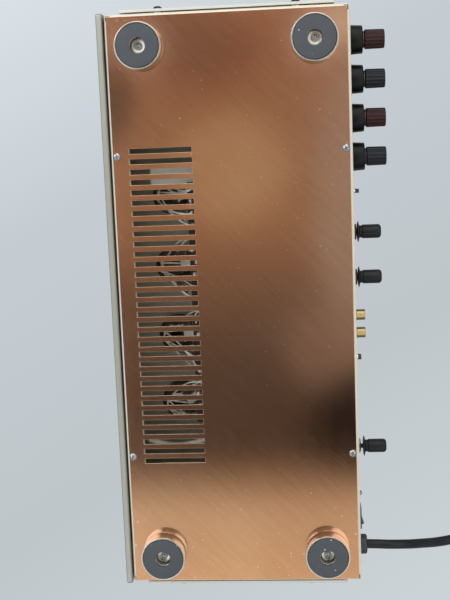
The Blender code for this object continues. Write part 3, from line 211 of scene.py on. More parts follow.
def piece(name, mesh, material, body="amplifier", stands_for=(), crease=40):
    """Puts a finished mesh in the scene as one piece of the amplifier."""
    obj = bpy.data.objects.new(name, mesh)
    bpy.context.scene.collection.objects.link(obj)
    mesh.materials.clear()
    mesh.materials.append(material)
    mesh.shade_smooth()
    mesh.set_sharp_from_angle(angle=math.radians(crease))
    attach(obj, body)
    if stands_for:
        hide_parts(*stands_for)
    return obj


def broken_edges(obj, width, segments=2):
    """Small bevels on a machined or cut piece's edges, with flat faces left flat."""
    bevel = obj.modifiers.new("edges", "BEVEL")
    bevel.width = width
    bevel.segments = segments
    bevel.limit_method = "ANGLE"
    bevel.angle_limit = math.radians(30)
    bevel.harden_normals = True
    return obj


def slotted_sheet():
    """Cuts a row of slots, instanced on a line of points, from one sheet."""
    vectors = ("Sheet Size", "Sheet Centre", "Slot Size", "First Slot", "Slot Step")
    tree, given, close = growing("slotted_sheet", vectors=vectors, counts=("Slot Count",))
    sheet = add(tree, "GeometryNodeMeshCube", {"Size": given["Sheet Size"]})
    seated = add(tree, "GeometryNodeTransform", {"Geometry": sheet, "Translation": given["Sheet Centre"]})
    slot = add(tree, "GeometryNodeMeshCube", {"Size": given["Slot Size"]})
    line = {"Count": given["Slot Count"], "Start Location": given["First Slot"], "Offset": given["Slot Step"]}
    row = add(tree, "GeometryNodeMeshLine", line)
    slots = add(tree, "GeometryNodeInstanceOnPoints", {"Points": row, "Instance": slot})
    meshes = {"Mesh 1": seated, "Mesh 2": add(tree, "GeometryNodeRealizeInstances", {"Geometry": slots})}
    close(add(tree, "GeometryNodeMeshBoolean", meshes, operation="DIFFERENCE", solver="EXACT"))
    return tree


# Patches and specks are by how many lie in a metre
DULL_PATCHES = 9.0
SPECKS = 420.0
CUT_EDGE_FACING = 0.6
COPPER_TONE = "#f7c9a8"
WORN_TONE = "#dea381"
SPECK_TONE = "#f7ead8"
# Near-white for the cut edges: their bare metal, painted paler still as a highlight
CUT_EDGE_HIGHLIGHT_TONE = "#fbf0d8"
COPPER_GLOSS = {"From Max": 0.9, "To Min": 0.09, "To Max": 0.16}
BRUSH_DEPTH = 0.012 * MM
BRUSHED_SHARE = 0.7
WIPED_SHARE = 0.07
STREAKS = {"Scale": 0.34, "Detail": 2.0}
STREAK_RANGE = {"From Min": 0.3, "From Max": 0.7, "To Min": -0.09, "To Max": 0.09}
SPECK_RANGE = {"From Min": 0.74, "From Max": 0.78}
BRUSH_TURN = math.radians(-45)
STROKE_SIZE = (14 * MM, 1.3 * MM, 14 * MM)
WIPED_FROM = (100 * MM, 60 * MM, 0)
WIPED_RINGS = {"Scale": 26.0, "Distortion": 7.0, "Detail": 3.0, "Detail Scale": 0.6}


def brushed_copper():
    """Lacquered copper sheet: slanting brushing, wiped arcs, dull patches, pale specks, and bare cut edges
    painted near white as a highlight.
    """
    material, tree, shader = surface("brushed_copper")
    where = add(tree, "ShaderNodeTexCoord").outputs["Object"]
    lay = {"Vector": where, "Rotation": (0, 0, BRUSH_TURN), "Scale": STROKE_SIZE}
    along = add(tree, "ShaderNodeMapping", lay, vector_type="TEXTURE")
    strokes = add(tree, "ShaderNodeTexNoise", {"Vector": along, "Scale": 1.0, "Detail": 3.0})
    sweep = add(tree, "ShaderNodeMapping", {"Vector": where, "Location": WIPED_FROM})
    arcs = {"Vector": sweep, **WIPED_RINGS}
    wiped = add(tree, "ShaderNodeTexWave", arcs, wave_type="RINGS", rings_direction="Z").outputs["Fac"]
    brushed = add(tree, "ShaderNodeMath", {0: strokes, 1: BRUSHED_SHARE}, operation="MULTIPLY")
    wiping = add(tree, "ShaderNodeMath", {0: wiped, 1: WIPED_SHARE}, operation="MULTIPLY")
    marks = add(tree, "ShaderNodeMath", {0: brushed, 1: wiping}, operation="ADD")
    patches = {"Vector": where, "Scale": DULL_PATCHES, "Detail": 3.0, "Distortion": 0.6}
    broad = add(tree, "ShaderNodeTexNoise", patches)
    streaks = add(tree, "ShaderNodeTexNoise", {"Vector": along, **STREAKS})
    streaky = add(tree, "ShaderNodeMapRange", {"Value": streaks, **STREAK_RANGE})
    worn = add(tree, "ShaderNodeMath", {0: broad, 1: streaky}, operation="ADD", use_clamp=True)
    specks = add(tree, "ShaderNodeTexNoise", {"Vector": where, "Scale": SPECKS, "Detail": 1.0})
    speck = add(tree, "ShaderNodeMapRange", {"Value": specks, **SPECK_RANGE})
    # Faces that stand on edge get a painted highlight over their bare-metal tone
    facing = add(tree, "ShaderNodeNewGeometry").outputs["True Normal"]
    upright = add(tree, "ShaderNodeSeparateXYZ", {0: facing}).outputs["Z"]
    level = add(tree, "ShaderNodeMath", {0: upright}, operation="ABSOLUTE")
    cut_edge_highlight = add(tree, "ShaderNodeMath", {0: level, 1: CUT_EDGE_FACING}, operation="LESS_THAN")
    tint = linear(COPPER_TONE)
    for factor, colour in ((worn, WORN_TONE), (speck, SPECK_TONE), (cut_edge_highlight, CUT_EDGE_HIGHLIGHT_TONE)):
        shades = {"Factor": factor, "A": tint, "B": linear(colour)}
        tint = add(tree, "ShaderNodeMix", shades, data_type="RGBA")
    gloss = add(tree, "ShaderNodeMapRange", {"Value": marks, **COPPER_GLOSS})
    relief = add(tree, "ShaderNodeBump", {"Height": marks, "Distance": BRUSH_DEPTH, "Strength": 1.0})
    feed(tree, shader, {"Metallic": 1.0, "Base Color": tint, "Roughness": gloss, "Normal": relief})
    return material


copper = brushed_copper()
plate_size = plate_high - plate_low
plate_mesh = grown(
    slotted_sheet(),
    copper,
    {
        "Sheet Size": plate_size,
        "Sheet Centre": (plate_high + plate_low) / 2,
        "Slot Size": (SLOT_WIDTH, SLOT_LENGTH, 3 * plate_size.z),
        "First Slot": (-(SLOT_COUNT - 1) / 2 * SLOT_PITCH, tube_row_y, (plate_low.z + plate_high.z) / 2),
        "Slot Step": (SLOT_PITCH, 0, 0),
        "Slot Count": SLOT_COUNT,
    },
)
bottom_plate = piece("copper_plate", plate_mesh, copper, stands_for=["bottom_plate"])
broken_edges(bottom_plate, PLATE_EDGE_BREAK)

# Feet
# Four feet turned from aluminium bar, with a rubber ring let into the lower face and a
# well in the middle, whose screw goes up through the bottom plate.

CORNERS = ("front_left", "front_right", "rear_left", "rear_right")
FOOT_SIDES = 96
FOOT_RIM = 1.2 * MM
PAD_RADIUS = 15.5 * MM
PAD_HOLE = 5.9 * MM
PAD_RECESS = 2.0 * MM
WELL_DEPTH = 5.0 * MM
WELL_FLOOR = 4.7 * MM
FOOT_SCREW_HOLE = 2.2 * MM
PAD_EDGE = 0.55 * MM
EDGE = 0.35 * MM
AXIS_NEAR = 0.001 * MM
SOFTENED_SHARE = 0.45
HERE = Matrix.Identity(4)
RING_RELIEF = 0.6
RINGS_ALONG = 0.6
NICK_RANGE = {"From Min": 0.83, "From Max": 0.86}


def softened(profile, radius, steps=3):
    """The profile with each corner turned into a short curve."""
    points = [Vector(point) for point in profile]
    soft = [points[0]]
    for before, corner, after in zip(points, points[1:], points[2:]):
        shorter = min((corner - before).length, (after - corner).length)
        reach = min(radius, shorter * SOFTENED_SHARE)
        if reach < AXIS_NEAR or corner.x < AXIS_NEAR:
            soft.append(corner)
            continue
        start = corner + (before - corner).normalized() * reach
        end = corner + (after - corner).normalized() * reach
        for step in range(steps + 1):
            t = step / steps
            soft.append(start * (1 - t) ** 2 + corner * 2 * t * (1 - t) + end * t**2)
    return [*soft, points[-1]]


def ring_shape(inner, outer, low, high):
    """The profile of a plain ring, or of a plain bar where its inner radius is nothing."""
    return ((inner, low), (outer, low), (outer, high), (inner, high))


def turned(name, profile, sides, place=HERE, edge=EDGE, closed=False):
    """A piece turned about Z from radius and height points, with its marks' run in a UV map."""
    line = softened([*profile, profile[0]] if closed else profile, edge)
    if closed:
        line = line[:-1]
    bm = bmesh.new()
    run = bm.loops.layers.uv.new("turning")
    lengths = [0.0]
    for a, b in zip(line, line[1:]):
        lengths.append(lengths[-1] + (b - a).length)
    rings = []
    for radius, height in line:
        count = 1 if radius < AXIS_NEAR else sides
        angles = [i / sides * 2 * math.pi for i in range(count)]
        circle = [(radius * math.cos(a), radius * math.sin(a), height) for a in angles]
        rings.append([bm.verts.new(place @ Vector(point)) for point in circle])
    pairs = [(j, j + 1) for j in range(len(line) - 1)]
    if closed:
        pairs.append((len(line) - 1, 0))
    for j, k in pairs:
        for i in range(sides):
            n = (i + 1) % sides
            corners = [(j, i), (j, n), (k, n), (k, i)]
            spots, ring_verts = [], []
            for ring, side in corners:
                vert = rings[ring][side % len(rings[ring])]
                if vert not in ring_verts:
                    ring_verts.append(vert)
                    spots.append((side / sides, lengths[ring]))
            if len(ring_verts) < 3:
                continue
            face = bm.faces.new(ring_verts)
            for loop, spot in zip(face.loops, spots):
                loop[run].uv = spot
    bmesh.ops.recalc_face_normals(bm, faces=bm.faces)
    mesh = bpy.data.meshes.new(name)
    bm.to_mesh(mesh)
    bm.free()
    return mesh


def turned_metal(name, colours, roughness, groove):
    """Bright metal off a lathe: fine rings that follow the tool, read from the piece's own map."""
    material, tree, shader = surface(name)
    shader.inputs["Metallic"].default_value = 1.0
    spot = add(tree, "ShaderNodeUVMap", uv_map="turning")
    ring = add(tree, "ShaderNodeMapping", {"Vector": spot, "Scale": (RINGS_ALONG, 1 / groove, 1)})
    lines = add(tree, "ShaderNodeTexNoise", {"Vector": ring, "Scale": 1.0, "Detail": 3.0})
    worked(tree, shader, lines, lines, colours, roughness, groove / 8, RING_RELIEF)
    return material


def scuffed_rubber():
    """Slate rubber ring, matt from the mould, with dust and small pale nicks."""
    material = finish("scuffed_rubber", ("#44484c", "#393d41"), (0.55, 0.75), 9 * MM, 0.7 * MM, 0.03 * MM)
    tree = material.node_tree
    where = add(tree, "ShaderNodeTexCoord").outputs["Object"]
    scuffs = {"Vector": where, "Scale": SPECKS, "Detail": 0.0, "Distortion": 0.3}
    nicks = add(tree, "ShaderNodeTexNoise", scuffs)
    nick = add(tree, "ShaderNodeMapRange", {"Value": nicks, **NICK_RANGE})
    overlaid(tree, nick, "#d8dcdc")
    return material


# Turned bar: bright, with rings about 0.25 mm apart, coarser than the real feed so that they show
bright_turned = turned_metal("bright_turned_aluminium", ("#c9c5bc", "#b3afa6"), (0.16, 0.30), 0.25 * MM)
slate_rubber = scuffed_rubber()
# Bright zinc on screw steel: cool, slightly uneven from the bath
zinc_steel = finish(
    "zinc_plated_steel", ("#a9abae", "#8f9196"), (0.18, 0.32), 2 * MM, 0.4 * MM, 0.01 * MM, Metallic=1.0
)


def at(x, y, z):
    return Matrix.Translation((x, y, z))


def middle(node):
    low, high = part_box(node)
    return (low + high) / 2


foot_screw_spots = []
for corner in CORNERS:
    foot_low, foot_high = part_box(f"foot_{corner}")
    pad_low, pad_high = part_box(f"foot_pad_{corner}")
    centre = middle(f"foot_{corner}")
    radius = (foot_high.x - foot_low.x) / 2
    floor = foot_low.z + PAD_RECESS
    well = floor + WELL_DEPTH
    foot_profile = (
        (FOOT_SCREW_HOLE, foot_high.z),
        (radius, foot_high.z),
        (radius, foot_low.z),
        (PAD_RADIUS + FOOT_RIM / 4, foot_low.z),
        (PAD_RADIUS + FOOT_RIM / 4, floor),
        (PAD_HOLE, floor),
        (WELL_FLOOR, well),
        (FOOT_SCREW_HOLE, well),
    )
    seat = at(centre.x, centre.y, 0)
    foot = turned(f"foot_{corner}", foot_profile, FOOT_SIDES, seat, closed=True)
    piece(f"turned_foot_{corner}", foot, bright_turned, stands_for=[f"foot_{corner}"])
    pad_profile = ring_shape(PAD_HOLE, PAD_RADIUS, pad_low.z, pad_high.z)
    pad = turned(f"pad_{corner}", pad_profile, FOOT_SIDES, seat, PAD_EDGE, True)
    piece(f"rubber_ring_{corner}", pad, slate_rubber, stands_for=[f"foot_pad_{corner}"])
    foot_screw_spots.append((centre.x, centre.y, well))

# Cross-head screws
# Plated pan heads with a cross recess: one in each foot's well, four on the bottom plate's long
# edges, two on the rear wall. Each stands at its own turn, as screws that were driven home do.

SCREW_SIDES = 40
HEAD_CURVE_SHARE = 1.09
RECESS_SHARE = 0.62
RECESS_WIDTH_SHARE = 0.16
RECESS_DEPTH_SHARE = 0.55
HALF_TURN = 3.14


def driven_home(tree, given, head, most):
    """Sets a screw head on each point, its top along the axis, at any turn up to the most."""
    facing = add(tree, "FunctionNodeAlignRotationToVector", {"Vector": given["Axis"]}, axis="Z")
    limits = {"Min": (0, 0, 0), "Max": (0, 0, most), "Seed": given["Seed"]}
    spin = add(tree, "FunctionNodeRandomValue", limits, data_type="FLOAT_VECTOR")
    turns = {"Rotation": facing, "Rotate By": add(tree, "FunctionNodeEulerToRotation", {"Euler": spin})}
    own = add(tree, "FunctionNodeRotateRotation", turns, rotation_space="LOCAL")
    heads = {"Points": given["Geometry"], "Instance": head, "Rotation": own}
    return add(tree, "GeometryNodeInstanceOnPoints", heads)


def cross_head_screws():
    """Pan heads with a cross recess, set on points with their tops along one axis."""
    numbers = ("Head Radius", "Head Height", "Recess Length", "Recess Width", "Recess Depth")
    tree, given, close = growing("cross_head_screws", numbers, ("Axis",), ("Seed",))
    radius, height = given["Head Radius"], given["Head Height"]
    drum = add(tree, "GeometryNodeMeshCylinder", {"Vertices": SCREW_SIDES, "Radius": radius, "Depth": height})
    half = add(tree, "ShaderNodeMath", {0: height, 1: 0.5}, operation="MULTIPLY")
    half_up = add(tree, "ShaderNodeCombineXYZ", {"Z": half})
    raised = add(tree, "GeometryNodeTransform", {"Geometry": drum, "Translation": half_up})
    ball = add(tree, "GeometryNodeMeshUVSphere", {"Segments": SCREW_SIDES, "Rings": SCREW_SIDES // 2})
    wide = add(tree, "ShaderNodeMath", {0: radius, 1: HEAD_CURVE_SHARE}, operation="MULTIPLY")
    size = add(tree, "ShaderNodeCombineXYZ", {"X": wide, "Y": wide, "Z": height})
    dome = add(tree, "GeometryNodeTransform", {"Geometry": ball, "Scale": size})
    head = add(tree, "GeometryNodeMeshBoolean", {"Mesh 2": raised}, operation="INTERSECT", solver="EXACT")
    feed(tree, head, {"Mesh 2": dome})
    deep = add(tree, "ShaderNodeMath", {0: given["Recess Depth"], 1: 2.0}, operation="MULTIPLY")
    up = add(tree, "ShaderNodeCombineXYZ", {"Z": height})
    recess = add(tree, "GeometryNodeMeshBoolean", {"Mesh 1": head}, operation="DIFFERENCE", solver="EXACT")
    long, thin = given["Recess Length"], given["Recess Width"]
    for x, y in ((long, thin), (thin, long)):
        size = add(tree, "ShaderNodeCombineXYZ", {"X": x, "Y": y, "Z": deep})
        arm = {"Geometry": add(tree, "GeometryNodeMeshCube", {"Size": size}), "Translation": up}
        feed(tree, recess, {"Mesh 2": add(tree, "GeometryNodeTransform", arm)})
    close(driven_home(tree, given, recess, HALF_TURN))
    return tree


screw_tree = cross_head_screws()


def screws(name, spots, axis, diameter, height, seed, stands_for=()):
    """One piece of screw heads of one size that all face along one axis."""
    sizes = {
        "Head Radius": diameter / 2,
        "Head Height": height,
        "Recess Length": diameter * RECESS_SHARE,
        "Recess Width": diameter * RECESS_WIDTH_SHARE,
        "Recess Depth": height * RECESS_DEPTH_SHARE,
        "Axis": axis,
        "Seed": seed,
    }
    heads = grown(screw_tree, zinc_steel, sizes, spots)
    return piece(name, heads, zinc_steel, stands_for=stands_for)


FOOT_SCREW = (5.4 * MM, 2.2 * MM)
PLATE_SCREW = (5.7 * MM, 2.0 * MM)
DOWN = Vector((0, 0, -1))
screws("foot_screws", foot_screw_spots, DOWN, *FOOT_SCREW, 3, [f"foot_screw_{c}" for c in CORNERS])
plate_screw_spots = [(*middle(f"plate_screw_{c}").xy, plate_low.z) for c in CORNERS]
screws("plate_screws", plate_screw_spots, DOWN, *PLATE_SCREW, 5, [f"plate_screw_{c}" for c in CORNERS])

# Mains cord, its strain relief and its plug
# A round vinyl cord that leaves the rear wall, falls to the surface and lies in a coil with a
# tie, ending in a moulded two-blade plug. The relief is a nylon bushing pressed into the wall.

CORD_DIAMETER = 7.3 * MM
COIL_OUTER_RADIUS = 54.2 * MM
COIL_TURN_GAP = 0.6 * MM
COIL_TURNS = 6.25
COIL_POINTS_PER_TURN = 24
COIL_TAIL = 30 * MM
CORD_REST = 3.75 * MM
CORD_IN_GLAND = 4.0 * MM
REAR_WALL = chassis_high.y
ROW_Z = (chassis_low.z + chassis_high.z) / 2
SEAT = 0.3 * MM
WALL_BACK = 1.9 * MM
GLAND_RADIUS = 7.85 * MM
GLAND_PROUD = 6.2 * MM
GLAND_ROUND = 2.6 * MM
GLAND_SIDES = 64
GLAND_NECK = 6.2 * MM
GLAND_BARB = 7.2 * MM
GLAND_INSIDE = 8.9 * MM
GLAND_MOUTH = 3.85 * MM
GLAND_MOUTH_DEPTH = 4.6 * MM
GLAND_SLIT = 0.5 * MM
PLUG_LENGTH = 42 * MM
PLUG_WIDTH = 26 * MM
PLUG_NECK = 10.4 * MM
PLUG_START = 0.3 * MM
PLUG_RIB = 1.2 * MM
PLUG_RINGS = 28
PLUG_NECK_SHARE = 0.36
PLUG_SHOULDER_SHARE = 0.26
PLUG_CORNER_SHARE = 0.36
PLUG_FACE_EDGE = 0.8 * MM
BLADE_LENGTH = 17 * MM
BLADE_WIDTH = 6.3 * MM
BLADE_THICKNESS = 1.5 * MM
BLADE_PITCH = 12.7 * MM
BLADE_SUNK = 2 * MM
BLADE_HOLE = 1.5 * MM
BLADE_HOLE_INSET = 4 * MM
BLADE_EDGE = 0.25 * MM
TIE_WIDTH = 12 * MM
TIE_THICKNESS = 1.1 * MM
TIE_SLACK = 0.3 * MM
TIE_UNDER = 0.06 * MM
TIE_CORNER_SHARE = 0.3
# How many turns in from the outermost its first and last turns are where the tie sits
TIE_FIRST_TURN = 0.5
TIE_LAST_TURN = 2.75
FRAME_SHIFT = Vector((0, -10.3 * MM, 0))
COIL_START = Vector((-170 * MM, 222 * MM, CORD_REST))
CORD_ROUTE = (
    (-200.4 * MM, 96.2 * MM, 44.2 * MM),
    (-200.6 * MM, 104.0 * MM, 44.2 * MM),
    (-200.9 * MM, 112.0 * MM, 44.0 * MM),
    (-200.2 * MM, 121.0 * MM, 42.1 * MM),
    (-198.0 * MM, 130.0 * MM, 37.0 * MM),
    (-194.2 * MM, 138.0 * MM, 29.0 * MM),
    (-189.9 * MM, 145.0 * MM, 19.8 * MM),
    (-185.6 * MM, 152.0 * MM, 11.8 * MM),
    (-181.2 * MM, 161.0 * MM, 6.2 * MM),
    (-176.4 * MM, 172.0 * MM, 4.0 * MM),
    (-172.6 * MM, 184.0 * MM, 3.75 * MM),
    (-170.6 * MM, 197.0 * MM, 3.75 * MM),
    (-170.0 * MM, 209.0 * MM, 3.75 * MM),
)


def smooth_line(points, step):
    """Points read from a smooth curve through a route's own points, about a step apart."""
    route = [Vector(point) for point in points]
    fine = []
    for i in range(len(route) - 1):
        before = route[max(i - 1, 0)]
        start, end = route[i], route[i + 1]
        after = route[min(i + 2, len(route) - 1)]
        count = max(1, round((end - start).length / step))
        for k in range(count):
            t = k / count
            bend = (2 * before - 5 * start + 4 * end - after) * t**2
            twist = (3 * start - before - 3 * end + after) * t**3
            fine.append(0.5 * (2 * start + (end - before) * t + bend + twist))
    return [*fine, route[-1]]


def coil_points():
    """Two layers of turns: spiral in on the floor, climb where it turns back, spiral out."""
    step = CORD_DIAMETER + COIL_TURN_GAP
    centre = COIL_START + Vector((COIL_OUTER_RADIUS, 0, 0))
    count = round(COIL_TURNS * COIL_POINTS_PER_TURN)
    points = []
    for i in range(count + 1):
        turn = i / count * COIL_TURNS
        radius = COIL_OUTER_RADIUS - step * min(turn, COIL_TURNS - turn)
        climb = min(max((turn - COIL_TURNS / 2) * 2 + 0.5, 0), 1)
        angle = math.pi - turn * 2 * math.pi
        around = Vector((math.cos(angle), math.sin(angle), 0)) * radius
        points.append(centre + around + Vector((0, 0, step * climb * climb * (3 - 2 * climb))))
    across = points[-1] - centre
    along = Vector((-across.y, across.x, 0)).normalized()
    if along.dot(points[-1] - points[-2]) < 0:
        along.negate()
    return [*points, points[-1] + along * COIL_TAIL]


def tubes(name, lines, diameter, rounding, material, stands_for=()):
    """Round tubes with filled ends, one along each line of points, as one piece."""
    curve = bpy.data.curves.new(name, "CURVE")
    curve.dimensions = "3D"
    curve.bevel_depth = diameter / 2
    curve.bevel_resolution = rounding
    curve.use_fill_caps = True
    for points in lines:
        spline = curve.splines.new("POLY")
        spline.points.add(len(points) - 1)
        for spot, point in zip(spline.points, points):
            spot.co = (*point, 1)
        spline.use_smooth = True
    curve.materials.append(material)
    obj = bpy.data.objects.new(name, curve)
    bpy.context.scene.collection.objects.link(obj)
    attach(obj, "amplifier")
    if stands_for:
        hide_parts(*stands_for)
    return obj


# Smooth vinyl: blue-black, a slow waver in its gloss from the extruder
cord_vinyl = finish(
    "smooth_vinyl", ("#0f1317", "#171b21"), (0.34, 0.48), 14 * MM, 1.5 * MM, 0.02 * MM, Specular_IOR_Level=0.3
)
cord_line = smooth_line(CORD_ROUTE, CORD_DIAMETER)
cord_line = [point for point in cord_line if point.y < COIL_START.y - CORD_DIAMETER] + coil_points()
cord_line = [point + FRAME_SHIFT for point in cord_line]
cord_line.insert(0, cord_line[0] - Vector((0, CORD_IN_GLAND, 0)))
cord = tubes(
    "mains_lead", [cord_line], CORD_DIAMETER, 5, cord_vinyl, ["mains_cord", "cord_coil"]
)


def facing_rear(x, y, z):
    """Puts a shape made along Z at a place, with its Z axis along +Y."""
    return at(x, y, z) @ Matrix.Rotation(-math.pi / 2, 4, "X")


def rounded_loop(width, depth, radius, level, steps=8):
    """The points of a rectangle with round corners, centred on the Z axis."""
    points = []
    for quarter in range(4):
        sign_x = 1 if quarter in (0, 3) else -1
        sign_y = 1 if quarter in (0, 1) else -1
        for step in range(steps + 1):
            angle = (quarter + step / steps) * math.pi / 2
            x = sign_x * (width / 2 - radius) + radius * math.cos(angle)
            points.append((x, sign_y * (depth / 2 - radius) + radius * math.sin(angle), level))
    return points


def lofted(name, loops, place, ring=False):
    """A skin over loops of equally many points, filled at its ends or closed on itself."""
    bm = bmesh.new()
    rings = [[bm.verts.new(place @ Vector(point)) for point in loop] for loop in loops]
    pairs = list(zip(rings, rings[1:]))
    if ring:
        pairs.append((rings[-1], rings[0]))
    for lower, upper in pairs:
        for i in range(len(lower)):
            j = (i + 1) % len(lower)
            bm.faces.new((lower[i], lower[j], upper[j], upper[i]))
    if not ring:
        bm.faces.new(rings[0][::-1])
        bm.faces.new(rings[-1])
    bmesh.ops.recalc_face_normals(bm, faces=bm.faces)
    mesh = bpy.data.meshes.new(name)
    bm.to_mesh(mesh)
    bm.free()
    return mesh


def block(name, low, high, place=HERE):
    """A plain block between two corners, for a piece whose edges are broken afterwards."""
    x, y = (low[0], high[0]), (low[1], high[1])
    corners = ((x[0], y[0]), (x[1], y[0]), (x[1], y[1]), (x[0], y[1]))
    return lofted(name, [[(*corner, z) for corner in corners] for z in (low[2], high[2])], place)


def joined(name, meshes, moves):
    """One mesh that holds several, each moved by its matrix."""
    bm = bmesh.new()
    for mesh, move in zip(meshes, moves):
        first = len(bm.verts)
        bm.from_mesh(mesh)
        bm.verts.ensure_lookup_table()
        bmesh.ops.transform(bm, matrix=move, verts=bm.verts[first:])
    whole = bpy.data.meshes.new(name)
    bm.to_mesh(whole)
    bm.free()
    return whole


def copies(name, mesh, moves):
    """One mesh that holds a copy of this one at each of the moves."""
    return joined(name, [mesh] * len(moves), moves)


def carved(mesh, *cutters):
    """The mesh with the cutters' room taken out."""
    body = bpy.data.objects.new("carving", mesh)
    bpy.context.scene.collection.objects.link(body)
    helpers = [body]
    for cutter in cutters:
        tool = bpy.data.objects.new("cutter", cutter)
        bpy.context.scene.collection.objects.link(tool)
        change = body.modifiers.new("cut", "BOOLEAN")
        change.operation = "DIFFERENCE"
        change.solver = "EXACT"
        change.object = tool
        helpers.append(tool)
    graph = bpy.context.evaluated_depsgraph_get()
    result = bpy.data.meshes.new_from_object(body.evaluated_get(graph))
    for helper in helpers:
        bpy.data.objects.remove(helper, do_unlink=True)
    return result


gland_place = facing_rear(cord_line[0].x, REAR_WALL, ROW_Z)
gland_profile = (
    (0, -GLAND_INSIDE),
    (GLAND_NECK, -GLAND_INSIDE),
    (GLAND_BARB, -WALL_BACK),
    (GLAND_NECK, -WALL_BACK),
    (GLAND_NECK, SEAT),
    (GLAND_RADIUS, SEAT),
    (GLAND_RADIUS, GLAND_PROUD),
    (GLAND_MOUTH, GLAND_PROUD),
    (GLAND_MOUTH, GLAND_PROUD - GLAND_MOUTH_DEPTH),
    (0, GLAND_PROUD - GLAND_MOUTH_DEPTH),
)
gland_mesh = turned("cord_gland", gland_profile, GLAND_SIDES, gland_place, GLAND_ROUND)
gland_slit = block(
    "gland_slit",
    (-GLAND_RADIUS * 2, -GLAND_SLIT / 2, SEAT + GLAND_SLIT),
    (GLAND_RADIUS * 2, GLAND_SLIT / 2, GLAND_PROUD * 2),
    gland_place,
)
# Moulded nylon: black with a faint green cast, an even satin from the mould
moulded_nylon = finish("moulded_nylon", ("#22282a", "#2c3233"), (0.35, 0.5), 6 * MM, 0.5 * MM, 0.02 * MM)
piece("nylon_gland", carved(gland_mesh, gland_slit), moulded_nylon, stands_for=["cord_gland"])

# Plug and tie, made at the cord's far end
plug_entry = cord_line[-1]
heading = (cord_line[-1] - cord_line[-2]).normalized()
plug_place = at(*plug_entry) @ Matrix.Rotation(math.atan2(-heading.x, heading.y), 4, "Z")
plug_place = plug_place @ Matrix.Rotation(-math.pi / 2, 4, "X")
plug_height = 2 * plug_entry.z
plug_loops = []
for step in range(PLUG_RINGS + 1):
    share = step / PLUG_RINGS
    rise = min(max((share - PLUG_NECK_SHARE) / PLUG_SHOULDER_SHARE, 0), 1)
    rise = rise * rise * (3 - 2 * rise)
    rib = PLUG_RIB * (step % 2) if share < PLUG_NECK_SHARE else 0
    across = PLUG_NECK + (PLUG_WIDTH - PLUG_NECK) * rise + rib
    upright = PLUG_NECK + (plug_height - PLUG_NECK) * rise + rib
    level = PLUG_START + (PLUG_LENGTH - PLUG_START) * share
    plug_loops.append(rounded_loop(across, upright, min(across, upright) * PLUG_CORNER_SHARE, level, 6))
plug_mesh = lofted("plug_body", plug_loops, plug_place)
plug_body = piece("plug_body", plug_mesh, cord_vinyl, stands_for=["mains_plug"])
broken_edges(plug_body, PLUG_FACE_EDGE, 3)
blade_mesh = block(
    "plug_blade",
    (-BLADE_THICKNESS / 2, -BLADE_WIDTH / 2, PLUG_LENGTH - BLADE_SUNK),
    (BLADE_THICKNESS / 2, BLADE_WIDTH / 2, PLUG_LENGTH + BLADE_LENGTH),
)
blade_hole = turned(
    "blade_hole",
    ring_shape(0, BLADE_HOLE, -BLADE_WIDTH, BLADE_WIDTH),
    24,
    at(0, 0, PLUG_LENGTH + BLADE_LENGTH - BLADE_HOLE_INSET) @ Matrix.Rotation(math.pi / 2, 4, "Y"),
    0,
)
blade_moves = [plug_place @ at(side * BLADE_PITCH / 2, 0, 0) for side in (-1, 1)]
blades = copies("plug_blades", carved(blade_mesh, blade_hole), blade_moves)
plug_blades = piece("plug_blades", blades, zinc_steel)
broken_edges(plug_blades, BLADE_EDGE)
coil_centre = COIL_START + Vector((COIL_OUTER_RADIUS, 0, 0)) + FRAME_SHIFT
coil_step = CORD_DIAMETER + COIL_TURN_GAP
tie_low = CORD_REST - CORD_DIAMETER / 2 - TIE_UNDER
tie_high = CORD_REST + coil_step + CORD_DIAMETER / 2 + TIE_SLACK
tie_out = COIL_OUTER_RADIUS - coil_step * TIE_FIRST_TURN + CORD_DIAMETER / 2 + TIE_SLACK
tie_in = COIL_OUTER_RADIUS - coil_step * TIE_LAST_TURN - CORD_DIAMETER / 2 - TIE_SLACK
tie_radius = (tie_high - tie_low) * TIE_CORNER_SHARE
tie_place = at(coil_centre.x + (tie_in + tie_out) / 2, coil_centre.y, (tie_low + tie_high) / 2)
tie_place = tie_place @ Matrix.Rotation(math.pi / 2, 4, "X")
tie_loops = []
for grow, half in ((0, -1), (TIE_THICKNESS, -1), (TIE_THICKNESS, 1), (0, 1)):
    loop = rounded_loop(
        tie_out - tie_in + 2 * grow, tie_high - tie_low + 2 * grow, tie_radius + grow, half * TIE_WIDTH / 2
    )
    floor_level = tie_low - (tie_low + tie_high) / 2 - TIE_UNDER / 2
    tie_loops.append([(x, max(y, floor_level), z) for x, y, z in loop])
# Woven hook tape: near black, with a nap drawn at 0.8 mm
tie_tape = finish("woven_hook_tape", ("#1c1d20", "#303236"), (0.75, 0.9), 3 * MM, 0.8 * MM, 0.15 * MM)
coil_tie = piece("coil_tie", lofted("coil_tie", tie_loops, tie_place, ring=True), tie_tape)

# Front panel
# A thick aluminium plate, brushed along its length, chamfered all round and satin anodised. It
# stands off the chassis on four turned spacers and has a small lamp lens let into its face.

PANEL_THICKNESS = 4.6 * MM
PANEL_CHAMFER = 0.7 * MM
PANEL_CORNER = 2.0 * MM
PANEL_GAP = 1.0 * MM
PANEL_SPACER = 5 * MM
PANEL_SPACER_INSET = 22 * MM
LAMP_RADIUS = 3.3 * MM
LAMP_DEPTH = 2.6 * MM
LENS_RISE = 1.4 * MM
LENS_FLATNESS = 1.2
BEZEL_WALL = 0.5 * MM
LAMP_SIDES = 64
SPACER_SIDES = 40
FOUR_WAYS = ((-1, -1), (-1, 1), (1, -1), (1, 1))


def quarter_turn(steps):
    """The cosines and sines of even steps through a quarter turn."""
    angles = [step / steps * math.pi / 2 for step in range(steps + 1)]
    return [(math.cos(angle), math.sin(angle)) for angle in angles]


